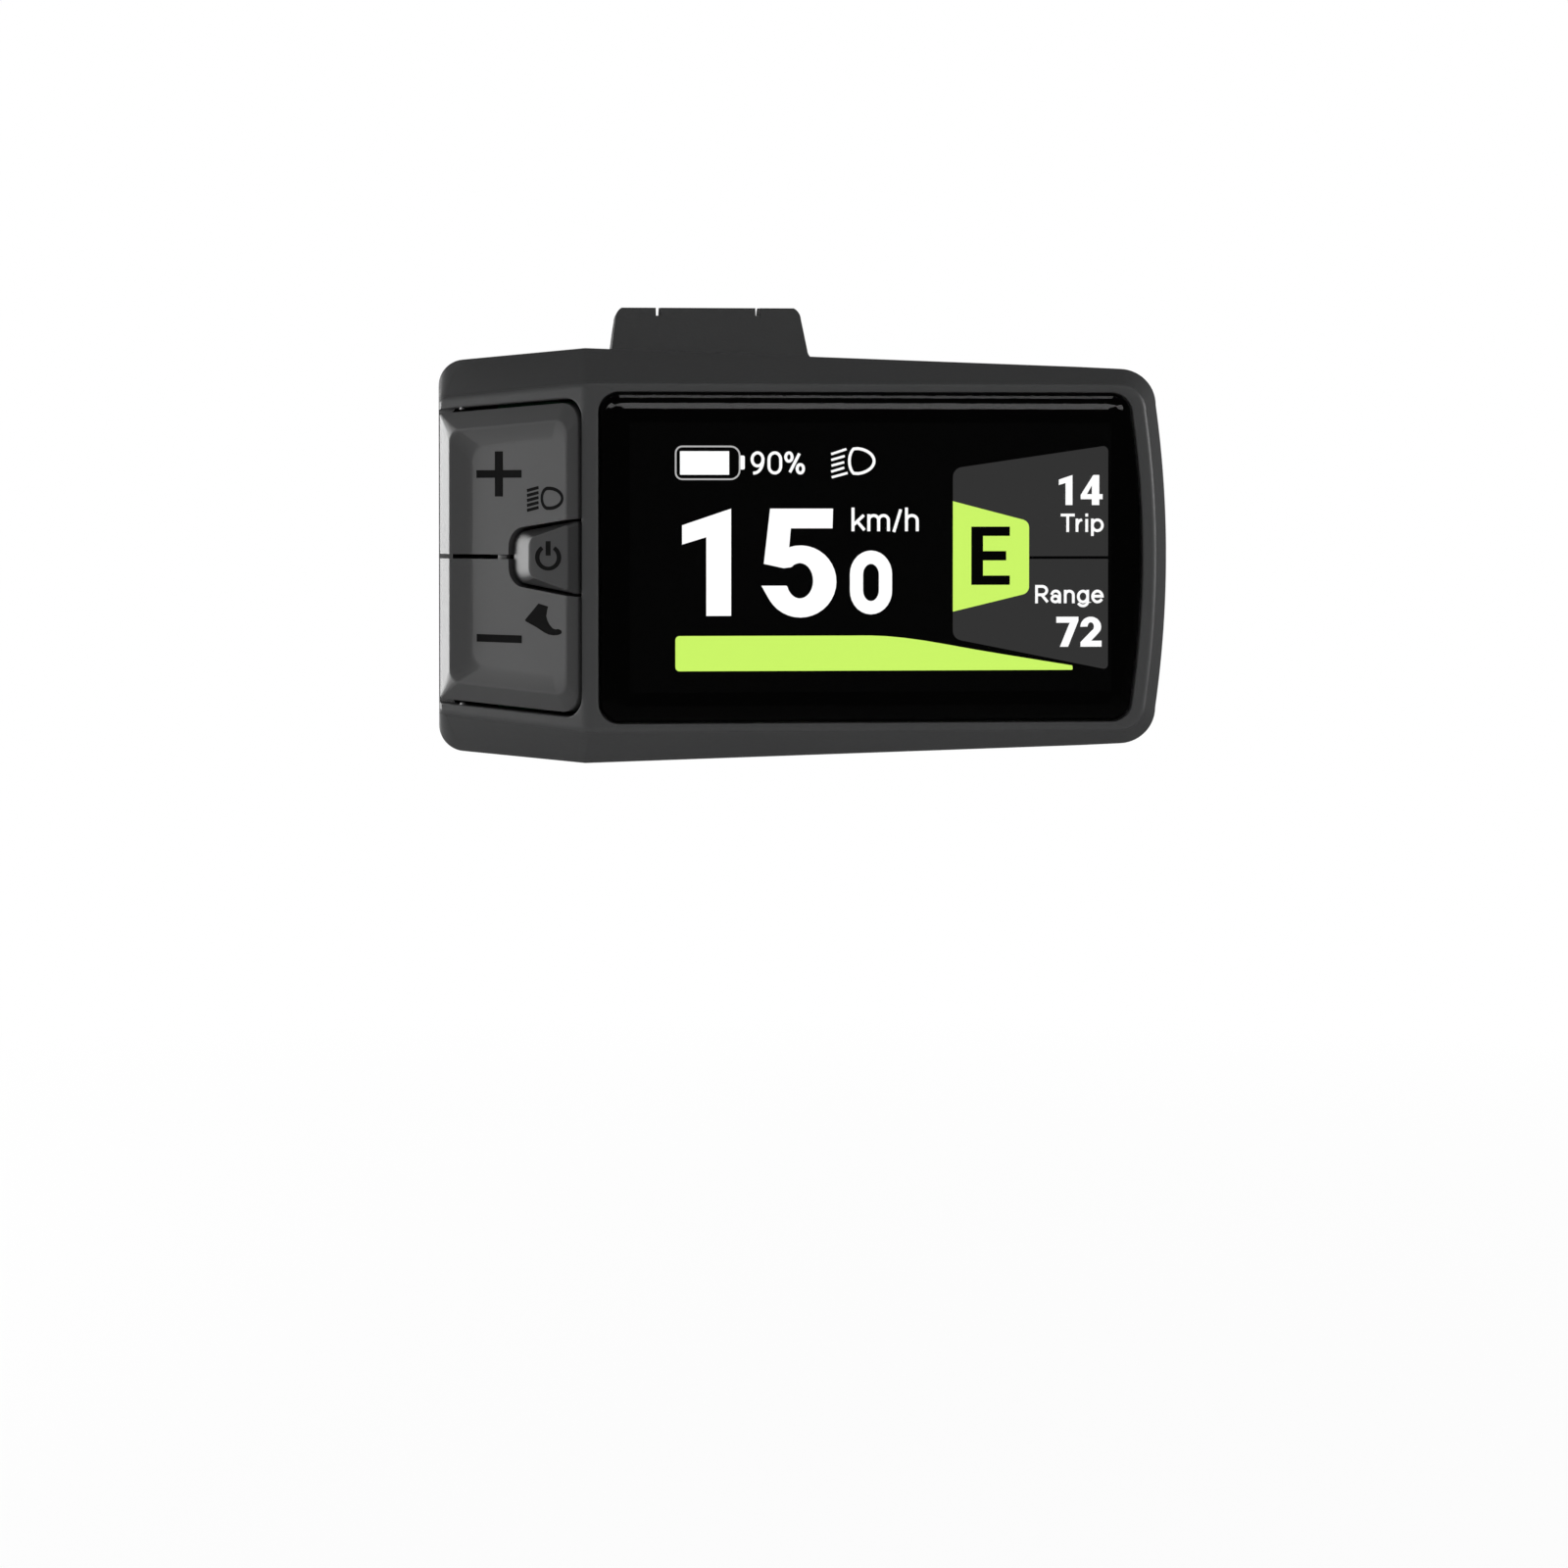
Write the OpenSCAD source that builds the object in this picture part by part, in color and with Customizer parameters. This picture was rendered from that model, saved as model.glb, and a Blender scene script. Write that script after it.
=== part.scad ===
// Handlebar display for an electric bicycle: a wedge-shaped housing of two shells with a wide
// screen, three keys on a slanted side facet, and a hinged clamp for the handlebar.
// The origin is the centre of the clamp bore. +X runs along the bar to the rider's right,
// -Y faces the rider and +Z is up. Every size is in millimetres.

/* [Screen] */
// Width of the cover glass
glass_w = 66.4; // [62:0.1:74]
// Height of the cover glass
glass_h = 40.0; // [38:0.1:44]
// Thickness of the cover glass
glass_t = 1.2; // [0.8:0.05:1.6]
// Corner radius of the cover glass
glass_corner = 2.5; // [1.5:0.1:4]
// How far the right edge of the glass bows outwards
glass_bow = 1.3; // [0.4:0.1:2]
// Width of the bevel round the front of the glass
glass_bevel = 1.1; // [0.5:0.05:1.6]
// Border of the glass above and below the display panel
lcd_side_border = 3.5; // [3.2:0.1:5]
// Border of the glass at either end of the display panel
lcd_end_border = 3.6; // [3.4:0.1:6]

/* [Housing] */
// Wall thickness of both shells
wall = 2.0; // [1.6:0.05:2.4]
// Rim of the front shell above and below the glass
rim_side = 1.3; // [1:0.05:2]
// Rim of the front shell at the right of the glass
rim_end = 2.0; // [1.5:0.05:3]
// Strip of the front shell between the glass and the side facet
rim_ridge = 1.4; // [1.2:0.05:2.4]
// Rounding of the rim's outer edge
rim_fillet = 0.9; // [0.5:0.05:1.2]
// How far the shell's flank flares out at the facet's ridge
flare_ridge = 4.7; // [3:0.1:6]
// How far the flank flares out at the right end
flare_right = 1.8; // [1:0.1:3]
// How far the flank flares out at the left end
flare_left = 4.5; // [3:0.1:6]
// Depth of the parting line behind the glass at the right end
belt_right = 6.5; // [5.6:0.1:8]
// How much further forward the parting line runs at the ridge than at the left end
belt_fall = 4.5; // [3.5:0.1:5.5]
// Depth of the rear shell at the right end
back_right = 3.0; // [2.8:0.1:4]
// Depth of the rear shell at the ridge
back_ridge = 3.5; // [3:0.1:4.5]
// Depth of the rear shell at the left end
back_left = 2.5; // [2.3:0.1:3.5]

/* [Side facet and keys] */
// Length of the slanted side facet
facet_len = 23.8; // [22:0.1:26]
// Angle between the facet and the screen
facet_angle = 40; // [36:0.5:44]
// Length of the end wall behind the facet
end_wall = 4.7; // [4:0.1:6]
// Height lost by the front rim along the facet
facet_taper = 1.4; // [0.8:0.1:2]
// Gap round the keys
key_gap = 0.45; // [0.3:0.01:0.6]
// Travel of a key
key_travel = 0.8; // [0.4:0.05:1]
// Height of the key pad's crest above the facet
key_rise = 1.0; // [0.6:0.05:1.4]
// Width of the chamfer round the key pad
key_chamfer = 2.1; // [1.6:0.1:2.8]
// Depth of the dish below the crest
dish_depth = 0.85; // [0.4:0.05:0.95]
// Length of the power key
power_len = 10.6; // [9:0.1:12]
// Height of the power key at its right end
power_h = 9.0; // [8:0.1:10.5]

/* [Clamp] */
// Diameter of the handlebar
bar_d = 22.2; // [21.5:0.1:25.4]
// Thickness of the rubber pads
pad_t = 1.0; // [0.6:0.1:1.5]
// Thickness of the clamp ring
ring_t = 3.1; // [2.6:0.1:4]
// Width of the clamp along the bar
clamp_w = 23; // [21:0.5:26]
// Distance of the clamp's middle from the facet's ridge
clamp_inset = 16.0; // [14.5:0.1:18]
// Distance of the bar axis below the top rim
bar_drop = 8.8; // [8:0.1:9.8]
// Diameter of the hinge pin
pin_d = 2.5; // [2:0.1:3]
// Diameter of the hinge knuckles
knuckle_d = 6.6; // [6:0.1:7.4]
// Width of the middle knuckle
knuckle_w = 12.2; // [11:0.1:14]
// Diameter of the clamp bolt's thread
bolt_d = 4; // [3:0.5:5]
// Length of thread that the bolt holds in
bolt_grip = 6; // [5:0.5:8]

/* [Cable outlet] */
// Diameter of the hole through the cable gland
gland_bore = 4.8; // [4:0.1:5.4]
// Length of the cable gland
gland_len = 13; // [11:0.5:16]

/* [Hidden] */
$fn = 64;

// Overrun of every cut, and the clearances
over = 1.0;
glass_gap = 0.15;
seat_gap = 0.05;
slip = 0.02;
run_gap = 0.05;
swing_gap = 0.35;
parting = 0.1;

// Steps of a corner arc and places of the points down the bowed end, as shares of its height
arc_steps = 9;
bow_shares = [0.75, 0.45, 0.15];
// Half-fillet point of a quarter round, as a share of its radius
fillet_share = 0.29;

// Main outline: the ridge is at x = 0, the glass at y = 0 and its middle at z = 0
facet_dx = facet_len * cos(facet_angle);
facet_dy = facet_len * sin(facet_angle);
facet_slope = tan(facet_angle);
face_w = rim_ridge + glass_w + rim_end;
rim_h = glass_h / 2 + rim_side;
ridge_round = 0.7;
end_out_right = 2.1;
end_out_left = 0.1;
rim_corner = 3.4;
belt_corner = 4.5;
end_corner = 3.3;
belt_left = facet_dy + end_wall;
belt_ridge = belt_left - belt_fall;
bar_clear = 0.9;
bar_r = bar_d / 2;
bar_rise = rim_h - bar_drop;
setback = belt_left + back_left + bar_r + bar_clear;

// Stack behind the glass
tape_t = 0.2;
tape_w = 1.2;
ledge_y = glass_t + tape_t;
deck_t = 1.8;
deck_y = ledge_y + deck_t;
lcd_gap = 0.4;
lcd_t = 1.6;
light_t = 1.6;
light_inset = 0.3;
lcd_w = glass_w - 2 * lcd_end_border;
lcd_h = glass_h - 2 * lcd_side_border;
lcd_x = rim_ridge + lcd_end_border;
lcd_y = glass_t + slip;
board_gap = 0.6;
board_t = 1.2;
board_y = lcd_y + lcd_t + light_t + board_gap;
board_back = board_y + board_t;

// Housing and board screws
boss_r = 2.0;
boss_left = 6.4;
boss_right_in = 3.6;
boss_mid_gap = 6.5;
boss_in = 2.8;
boss_z = rim_h - boss_in;
screw_r = 0.85;
screw_clear = 0.2;
screw_head_r = 1.7;
screw_head_t = 1.2;
rear_boss_r = screw_head_r + screw_clear + 0.75 * screw_r;
board_boss_r = 1.5;
board_screw_r = 0.55;
board_screw_head_r = 1.1;
board_screw_head_t = 0.7;
board_screw_in = 2.7;
board_screw_z = rim_h - board_screw_in;
board_left = boss_left + boss_r + seat_gap * 10;
board_right = face_w - boss_right_in - boss_r - wall;
board_edge = 2.2;
board_half = board_screw_z + board_boss_r - seat_gap * 4;

// Joint between the shells
lip_h = 1.0;
rabbet_h = 1.6;
lip_gap = 0.12;

// Key pad, measured on the facet from the ridge to the left
key_open_right = 1.05;
key_end_rim = 1.4;
key_end_reveal = 0.1;
key_open_left = facet_len - key_end_rim;
key_end = facet_len - key_end_reveal;
key_corner = 2.4;
key_top_margin = 1.8;
key_chamfer_right = 0.8;
key_left_extra = 0.3;
key_crest = 0.25;
dish_run = 2.2;
dish_left_extra = 0.7;
dish_right = 0.15;
dish_corner = 2.2;
crest_corner = 1.6;
key_base = 2.4;
lip_seat = 0.1;
key_rebate = key_travel + lip_seat + 0.25 * key_gap;
key_inner_corner = 0.8;
power_left_h = 5.9;
power_corner = 2.1;
power_rise = 0.9;
power_run = 3.1;
power_side = 0.5;
power_left_side = 0.7;
power_top_corner = 1.2;

// Posts, mat and board behind the keys
post_r = 1.4;
post_len = 1.2;
post_end = key_base + post_len;
dome_gap = 0.1;
dome_h = 0.5;
dome_top = post_end + key_travel + dome_gap;
mat_top = dome_top + dome_h;
mat_t = 0.7;
mat_rim = 1.2;
switch_t = 0.55;
switch_w = 3.4;
dome_r = 1.8;
key_board_y = mat_top + mat_t + switch_t + seat_gap;
key_board_t = 0.8;
key_board_right = 1.6;
key_board_in = 4.3;
key_board_left = facet_len - key_board_in;
mat_side = 1.8;
key_board_side = 0.8;
mat_half = glass_h / 2 - mat_side;
key_board_half = glass_h / 2 - key_board_side;
post_shift = 2.0;
key_post_s = (key_open_left + key_open_right) / 2 + post_shift;
key_post_z = glass_h / 4;
power_post_s = key_open_right + power_len * 0.45;
stop_gap = 0.5;
stop_z = mat_half + stop_gap;
stop_len = 4.0;
stop_t = 1.2;
rib_t = 1.4;
rib_z = 10.0;

// Clamp
ring_in = bar_r + pad_t;
ring_r = ring_in + ring_t;
plate_gap = 0.4;
plate_y = -(ring_r + plate_gap);
split_gap = 0.6;
knuckle_r = knuckle_d / 2;
pin_r = pin_d / 2;
ear_drop = 4.0;
ear_w = 8.0;
ear_t = 5.4;
bolt_r = bolt_d / 2;
bolt_wall = 2.3;
bolt_z = -(ring_in + bolt_r + bolt_wall);
insert_wall = 0.8;
insert_clear = 0.2;
insert_sink = 0.4;
insert_end = -split_gap - insert_sink;
hinge_y = insert_end - bolt_grip / 2;
hinge_lift = 0.9;
hinge_z = ring_r + hinge_lift;
head_r = 1.75 * bolt_r;
head_h = bolt_d;
socket_r = 0.87 * bolt_r;
washer_t = 0.8;
washer_r = 2.0 * bolt_r;
pad_inset = 1.0;
pad_w = clamp_w - 2 * pad_inset;
strap_pad_start = 2.4;
tab_side_extra = 0.4;
tab_top_half = clamp_w / 2 + tab_side_extra;
tab_draft = 0.6;
tab_corner = 1.7;
tab_fillet = 1.3;
notch_drop = 1.3;
knuckle_side_gap = 0.6;
flat_drop = 0.25;
notch_low = hinge_z + knuckle_r - notch_drop;
flat_top = hinge_z + knuckle_r - flat_drop;
bracket_screw_x = 8.0;
bracket_screw_top = 7.5;
bracket_screw_low = -10.0;
bracket_screw_r = 1.0;
bracket_screw_bite = 4.2;
bracket_head_r = 1.9;
bracket_head_t = 1.4;
bracket_boss_r = 2.6;
bracket_low = plate_y;
bracket_shoulder = 9.0;

// Cable outlet, measured from the ridge and the middle of the screen
gland_wall = 1.1;
sleeve_wall = 0.9;
gland_r = gland_bore / 2 + sleeve_wall;
gland_boss_r = gland_r + gland_wall;
gland_from_end = 26.8;
gland_from_rim = 6.8;
gland_mouth = face_w - gland_from_end;
gland_z = gland_from_rim - rim_h;
gland_flange_t = 1.5;
gland_flange_w = 0.5;
gland_flange_r = gland_r + gland_flange_w;
gland_lift = gland_flange_r + seat_gap * 4;
gland_chamber = 5.5;
gland_tail = 2.0;

// Parts on the boards
chip_w = 9.0;
chip_t = 1.0;
radio_w = 15.0;
radio_h = 11.0;
radio_t = 2.0;
coil_w = 5.0;
coil_t = 2.2;
cap_r = 1.6;
cap_t = 2.4;
socket_w = 8.0;
socket_h = 5.0;
socket_t = 2.4;
flex_t = 0.15;
flex_w = 12.0;
flex_plug_t = 0.9;
flex_plug_w = 3.0;

// Height and depth of the housing, from its three stations
function mix(a, b, t) = a + (b - a) * t;
function front_y(x) =
    x >= ridge_round ? 0 :
    x <= -ridge_round ? -x * facet_slope :
    facet_slope * pow(x - ridge_round, 2) / (4 * ridge_round);
function stations(x, left, ridge, right) =
    x < 0 ? ridge + (left - ridge) * -x / facet_dx : ridge + (right - ridge) * x / face_w;
function belt_y(x) = stations(x, belt_left, belt_ridge, belt_right);
function back_y(x) = belt_y(x) + stations(x, back_left, back_ridge, back_right);
function height(x, y) =
    let (t = (y - front_y(x)) / (belt_y(x) - front_y(x)))
    stations(x, rim_h - facet_taper, rim_h, rim_h) + t * stations(x, flare_left, flare_ridge, flare_right);
function cavity_y(x) = max(deck_y, -x * facet_slope + wall / cos(facet_angle));

// Point of the facet's own frame, s to the left of the ridge and m inwards, in the main frame
function on_facet_xy(s, m) = [
    -s * cos(facet_angle) + m * sin(facet_angle),
    s * sin(facet_angle) + m * cos(facet_angle)
];

// Upper half of an outline with two rounded corners, as [x, z] from the left end to the right.
// The top line runs from h0 at x0 over hm at the knots to h1 at x1, whose side may bow outwards.
function half_outline(x0, h0, r0, x1, h1, r1, bow = 0, knots = [], hm = 0) =
    let (
        bent = len(knots) > 0,
        a0 = bent ? atan2(hm - h0, -x0) : atan2(h1 - h0, x1 - x0),
        a1 = bent ? atan2(hm - h1, x1) : -a0,
        xe = x1 - bow,
        c0 = h0 + r0 * tan(a0) - r0 / cos(a0),
        c1 = h1 + r1 * tan(a1) - r1 / cos(a1)
    )
    concat(
        [for (i = [0:arc_steps]) let (a = mix(180, 90 + a0, i / arc_steps))
            [x0 + r0 + r0 * cos(a), c0 + r0 * sin(a)]],
        [for (k = knots) [k, k < 0 ? hm + (h0 - hm) * k / x0 : hm + (h1 - hm) * k / x1]],
        [for (i = [0:arc_steps]) let (a = mix(90 - a1, 0, i / arc_steps))
            [xe - r1 + r1 * cos(a), c1 + r1 * sin(a)]],
        bow == 0 ? [] : [for (s = bow_shares) [xe + bow * (1 - s * s), c1 * s]]
    );
function whole(half) = concat(half, [for (i = [len(half) - 1:-1:0]) [half[i].x, -half[i].y]]);

knot_shares = [-1, -0.5, 0, 0.5, 1];
knots = knot_shares * ridge_round;
function lift(half, depths) = [for (i = [0:len(half) - 1]) [half[i].x, depths[i], half[i].y]];

// Outline of the housing, t of the way from the rim (0) to the belt (1), set in by off
function housing_half(t, off) = half_outline(
    -facet_dx - end_out_left * t + off,
    rim_h - facet_taper + flare_left * t - off,
    max(mix(rim_corner, end_corner, t) - off, over / 2),
    face_w + end_out_right * t - off,
    rim_h + flare_right * t - off,
    max(mix(rim_corner, belt_corner, t) - off, over / 2),
    glass_bow, knots, rim_h + flare_ridge * t - off);
function front_ring(off, dy) =
    let (h = housing_half(0, off)) lift(h, [for (p = h) front_y(p.x) + dy]);
function belt_ring(off, dy) =
    let (h = housing_half(1, off)) lift(h, [for (p = h) belt_y(p.x) + dy]);
function back_ring(off, share, dy) =
    let (h = housing_half(1, off)) lift(h, [for (p = h) mix(belt_y(p.x), back_y(p.x), share) + dy]);
cavity_share = 0.12;
function cavity_ring() =
    let (h = housing_half(cavity_share, wall)) lift(h, [for (p = h) cavity_y(p.x)]);

function glass_half(off) = half_outline(
    rim_ridge + off, glass_h / 2 - off, glass_corner - off / 2,
    rim_ridge + glass_w - off, glass_h / 2 - off, glass_corner - off / 2, glass_bow);
function lcd_half(off) = half_outline(
    lcd_x + off, lcd_h / 2 - off, lcd_gap, lcd_x + lcd_w - off, lcd_h / 2 - off, lcd_gap);

// Height of the key opening, s to the left of the ridge
key_h_right = rim_h - key_top_margin;
key_h_left = rim_h - facet_taper - key_top_margin + 0.15 * facet_taper;
function key_h(s) = mix(key_h_right, key_h_left, s / facet_len);
function opening_half(left) = half_outline(
    -left, key_h(left), key_inner_corner, -key_open_right, key_h(key_open_right), key_corner);
function pad_half(inset, inset_left, inset_right, corner) = half_outline(
    -key_end + inset_left, key_h(key_end) - key_gap - inset, corner,
    -key_open_right - key_gap - inset_right, key_h(key_open_right) - key_gap - inset, corner);
function power_half(off, left, right, corner) = half_outline(
    -key_open_right - power_len - off + left, power_left_h / 2 + off, corner,
    -key_open_right - right, power_h / 2 + off, key_inner_corner / 2);
function power_top_half() = half_outline(
    -key_open_right - power_len + power_run, power_left_h / 2 - power_left_side, power_top_corner,
    -key_open_right - key_gap - key_chamfer_right, power_h / 2 - power_side, key_inner_corner / 2);

// The dish's floor rises from its left end to the crest at the right
function dish_ring(half) =
    let (left = half[0].x, right = half[len(half) - 1].x)
    [for (p = half) [p.x, mix(-key_rise, dish_depth - key_rise, (p.x - right) / (left - right)), p.y]];
function flat(half, y) = [for (p = half) [p.x, y, p.y]];

// Solid through rings of equal length. A ring is its upper half, and its lower half mirrors it.
module mirrored_loft(rings) {
    n = len(rings[0]);
    c = 2 * n;
    last = (len(rings) - 1) * c;
    points = [for (r = rings) each concat(r, [for (i = [n - 1:-1:0]) [r[i].x, r[i].y, -r[i].z]])];
    sides = [for (k = [0:len(rings) - 2], i = [0:c - 1])
        let (a = k * c + i, b = k * c + (i + 1) % c)
        each [[a, a + c, b], [b, a + c, b + c]]];
    front = [for (i = [0:n - 2]) [i, i + 1, c - 2 - i, c - 1 - i]];
    rear = [for (i = [0:n - 2]) [last + c - 1 - i, last + c - 2 - i, last + i + 1, last + i]];
    polyhedron(points = points, faces = concat(sides, front, rear), convexity = 6);
}

// Prism along y of an outline drawn in x and z
module y_prism(outline, y0, y1) {
    translate([0, y1, 0])
        rotate([90, 0, 0])
            linear_extrude(height = y1 - y0)
                polygon(outline);
}

// Prism along x of an outline drawn in y and z, centred on x = 0
module x_prism(outline, width) {
    rotate([90, 0, 90])
        linear_extrude(height = width, center = true)
            polygon(outline);
}
module y_cylinder(r, y0, y1) {
    translate([0, y0, 0])
        rotate([-90, 0, 0])
            cylinder(r = r, h = y1 - y0);
}
module x_cylinder(r, x0, x1) {
    translate([x0, 0, 0])
        rotate([0, 90, 0])
            cylinder(r = r, h = x1 - x0);
}
module block(low, high) {
    translate(low)
        cube(high - low);
}

// The display's frame has its origin on the ridge, and the facet's frame is turned about it
module in_display() {
    translate([-clamp_inset, -setback, -bar_rise])
        children();
}
module on_facet() {
    in_display()
        rotate([0, 0, -facet_angle])
            children();
}
module mirrored_z() {
    children();
    mirror([0, 0, 1])
        children();
}

// Places of the housing screws and the board screws
housing_screw_places = [
    [boss_left, -boss_z],
    [clamp_inset + clamp_w / 2 + boss_mid_gap, boss_z],
    [face_w - boss_right_in, boss_z],
    [face_w - boss_right_in, -boss_z]
];
board_screw_places = [
    for (x = [board_left + board_edge, board_right - board_edge], z = [-1, 1]) [x, z * board_screw_z]
];
module at_places(places) {
    for (p = places)
        translate([p.x, 0, p.y])
            children();
}
module at_bracket_screws() {
    for (x = [-bracket_screw_x, bracket_screw_x], z = [bracket_screw_low, bracket_screw_top])
        translate([clamp_inset + x, 0, bar_rise + z])
            children();
}

// Front shell

module key_opening() {
    rotate([0, 0, -facet_angle]) {
        y_prism(whole(opening_half(key_open_left)), -over, key_base + over * 2);
        intersection() {
            y_prism(whole(opening_half(key_end + key_corner * 2)), -over * 2, key_rebate);
            block([-key_end - over * 2, -over * 3, -glass_h], [-facet_len / 2, over * 4, glass_h]);
        }
    }
}
module key_board_stops() {
    for (s = [key_board_right + stop_len, key_board_left - stop_len]) {
        seat = on_facet_xy(s, key_board_y);
        rotate([0, 0, -facet_angle])
            mirrored_z()
                block([-s, key_board_y - stop_t, stop_z],
                      [-s + stop_t, key_board_y - seat_gap, height(seat.x, seat.y) - 0.6 * wall]);
    }
}
module front_housing() {
    color("#3a3b3d")
    in_display()
        difference() {
            union() {
                difference() {
                    mirrored_loft([
                        front_ring(rim_fillet, 0),
                        front_ring(rim_fillet * fillet_share, rim_fillet * fillet_share),
                        front_ring(0, rim_fillet),
                        belt_ring(0, -parting / 2)
                    ]);
                    mirrored_loft([cavity_ring(), belt_ring(wall, 0), belt_ring(wall, over * 2)]);
                    mirrored_loft([belt_ring(wall / 2, -rabbet_h), belt_ring(wall / 2, over)]);
                }
                at_places(housing_screw_places)
                    y_cylinder(boss_r, ledge_y + over / 2, belt_right);
                at_places(board_screw_places)
                    y_cylinder(board_boss_r, ledge_y + over / 2, board_y - seat_gap);
                key_board_stops();
            }
            y_prism(whole(glass_half(-glass_gap)), -over, ledge_y);
            y_prism(whole(lcd_half(-lcd_gap)), 0, board_y);
            at_places(housing_screw_places)
                y_cylinder(screw_r + slip, deck_y, belt_right + over);
            at_places(board_screw_places)
                y_cylinder(board_screw_r + slip, ledge_y + over, board_y + over);
            key_opening();
        }
}

// Rear shell

module at_gland() {
    translate([0, back_y(gland_mouth) + gland_lift, gland_z])
        children();
}
module gland_boss() {
    start = gland_mouth - gland_len - gland_chamber - gland_tail;
    at_gland() {
        x_cylinder(gland_boss_r, start, gland_mouth);
        block([start, -gland_lift - wall / 2, -gland_boss_r], [gland_mouth, 0, gland_boss_r]);
    }
}
module gland_cut() {
    inner = gland_mouth - gland_len - gland_chamber;
    at_gland() {
        x_cylinder(gland_r + slip, inner, gland_mouth + over);
        block([inner, -gland_lift - wall * 2, -gland_r + over / 2],
              [inner + gland_chamber - over, 0, gland_r - over / 2]);
    }
}
module key_board_rib() {
    back = key_board_y + key_board_t + seat_gap;
    near = on_facet_xy(key_board_right + stop_len, back);
    far = on_facet_xy(key_board_left - stop_len / 2, back);
    translate([0, 0, rib_z - rib_t / 2])
        linear_extrude(height = rib_t)
            polygon([near, [near.x, back_y(near.x) - wall / 2], [far.x, back_y(far.x) - wall / 2], far]);
}
pad_plane = setback + plate_y;
screw_seat = back_y(clamp_inset + bracket_screw_x) - wall - 0.2 * bracket_head_t;
head_seat = belt_right + wall;
module back_housing() {
    color("#333436")
    in_display()
        difference() {
            union() {
                difference() {
                    union() {
                        mirrored_loft([
                            back_ring(0, 0, parting / 2),
                            back_ring(0.3 * wall / 2, 0.45, 0),
                            back_ring(1.3 * wall / 2, 0.8, 0),
                            back_ring(1.5 * wall, 1, 0)
                        ]);
                        mirrored_loft([
                            belt_ring(wall / 2 + lip_gap, -lip_h),
                            belt_ring(wall / 2 + lip_gap, over / 2)
                        ]);
                        block([clamp_inset - clamp_w / 2, belt_ridge - over, bar_rise - ring_r],
                              [clamp_inset + clamp_w / 2, pad_plane, bar_rise + bracket_shoulder]);
                    }
                    mirrored_loft([
                        belt_ring(wall, -over * 2),
                        belt_ring(wall, 0.2 * wall),
                        back_ring(1.2 * wall, 1, -wall)
                    ]);
                }
                for (p = housing_screw_places)
                    translate([p.x, 0, p.y])
                        y_cylinder(rear_boss_r, belt_right + seat_gap, back_y(p.x) - wall / 2);
                gland_boss();
                at_bracket_screws()
                    y_cylinder(bracket_boss_r, screw_seat, pad_plane - over);
                mirrored_z()
                    key_board_rib();
            }
            gland_cut();
            at_places(housing_screw_places)
                y_cylinder(screw_r + screw_clear, belt_right - over, belt_ridge + back_ridge + over);
            at_places(housing_screw_places)
                y_cylinder(screw_head_r + screw_clear, head_seat, belt_ridge + back_ridge + over);
            at_bracket_screws()
                y_cylinder(bracket_screw_r + screw_clear, screw_seat - over, pad_plane + over);
        }
}

module housing_seal() {
    color("#202020")
    in_display()
        difference() {
            mirrored_loft([
                belt_ring(wall / 2 + seat_gap, -rabbet_h + seat_gap),
                belt_ring(wall / 2 + seat_gap, -lip_h - seat_gap)
            ]);
            mirrored_loft([
                belt_ring(wall - seat_gap, -rabbet_h - over),
                belt_ring(wall - seat_gap, over)
            ]);
        }
}
module screw(r, tip, seat, head_r, head_t) {
    y_cylinder(r, tip, seat + head_t / 2);
    difference() {
        y_cylinder(head_r, seat, seat + head_t);
        translate([0, seat + head_t / 2, 0])
            rotate([-90, 0, 0])
                cylinder(r = head_r / 2, h = head_t, $fn = 6);
    }
}
module housing_screws() {
    color("#8a8d90")
    in_display()
        at_places(housing_screw_places)
            screw(screw_r, deck_y + seat_gap, head_seat + seat_gap, screw_head_r, screw_head_t);
}

// Screen

module cover_glass() {
    color("#050505")
    in_display()
        mirrored_loft([
            flat(glass_half(glass_bevel), 0),
            flat(glass_half(0), glass_t / 3),
            flat(glass_half(0), glass_t)
        ]);
}
module glass_tape() {
    color("#1c1c1c")
    in_display()
        difference() {
            y_prism(whole(glass_half(glass_gap)), glass_t + slip, ledge_y - slip);
            y_prism(whole(glass_half(glass_gap + tape_w)), glass_t - over, ledge_y + over);
        }
}
module lcd_panel() {
    color("#101214")
    in_display()
        y_prism(whole(lcd_half(0)), lcd_y, lcd_y + lcd_t);
}
module lcd_backlight() {
    color("#d9dadb")
    in_display()
        y_prism(whole(lcd_half(light_inset)), lcd_y + lcd_t + slip, lcd_y + lcd_t + light_t);
}
flex_low = -lcd_h / 2;
module display_flex() {
    low = flex_low;
    front = lcd_y + lcd_t / 2;
    rear = board_y - seat_gap;
    color("#b5762a")
    in_display()
        translate([lcd_x + lcd_w / 2, 0, 0])
            x_prism([
                [front, low - slip], [front, low - lcd_gap / 2], [rear, low - lcd_gap / 2],
                [rear, low + flex_w / 3], [rear - flex_t, low + flex_w / 3], [rear - flex_t, low - slip]
            ], flex_w);
}

// Electronics behind the screen

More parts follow.
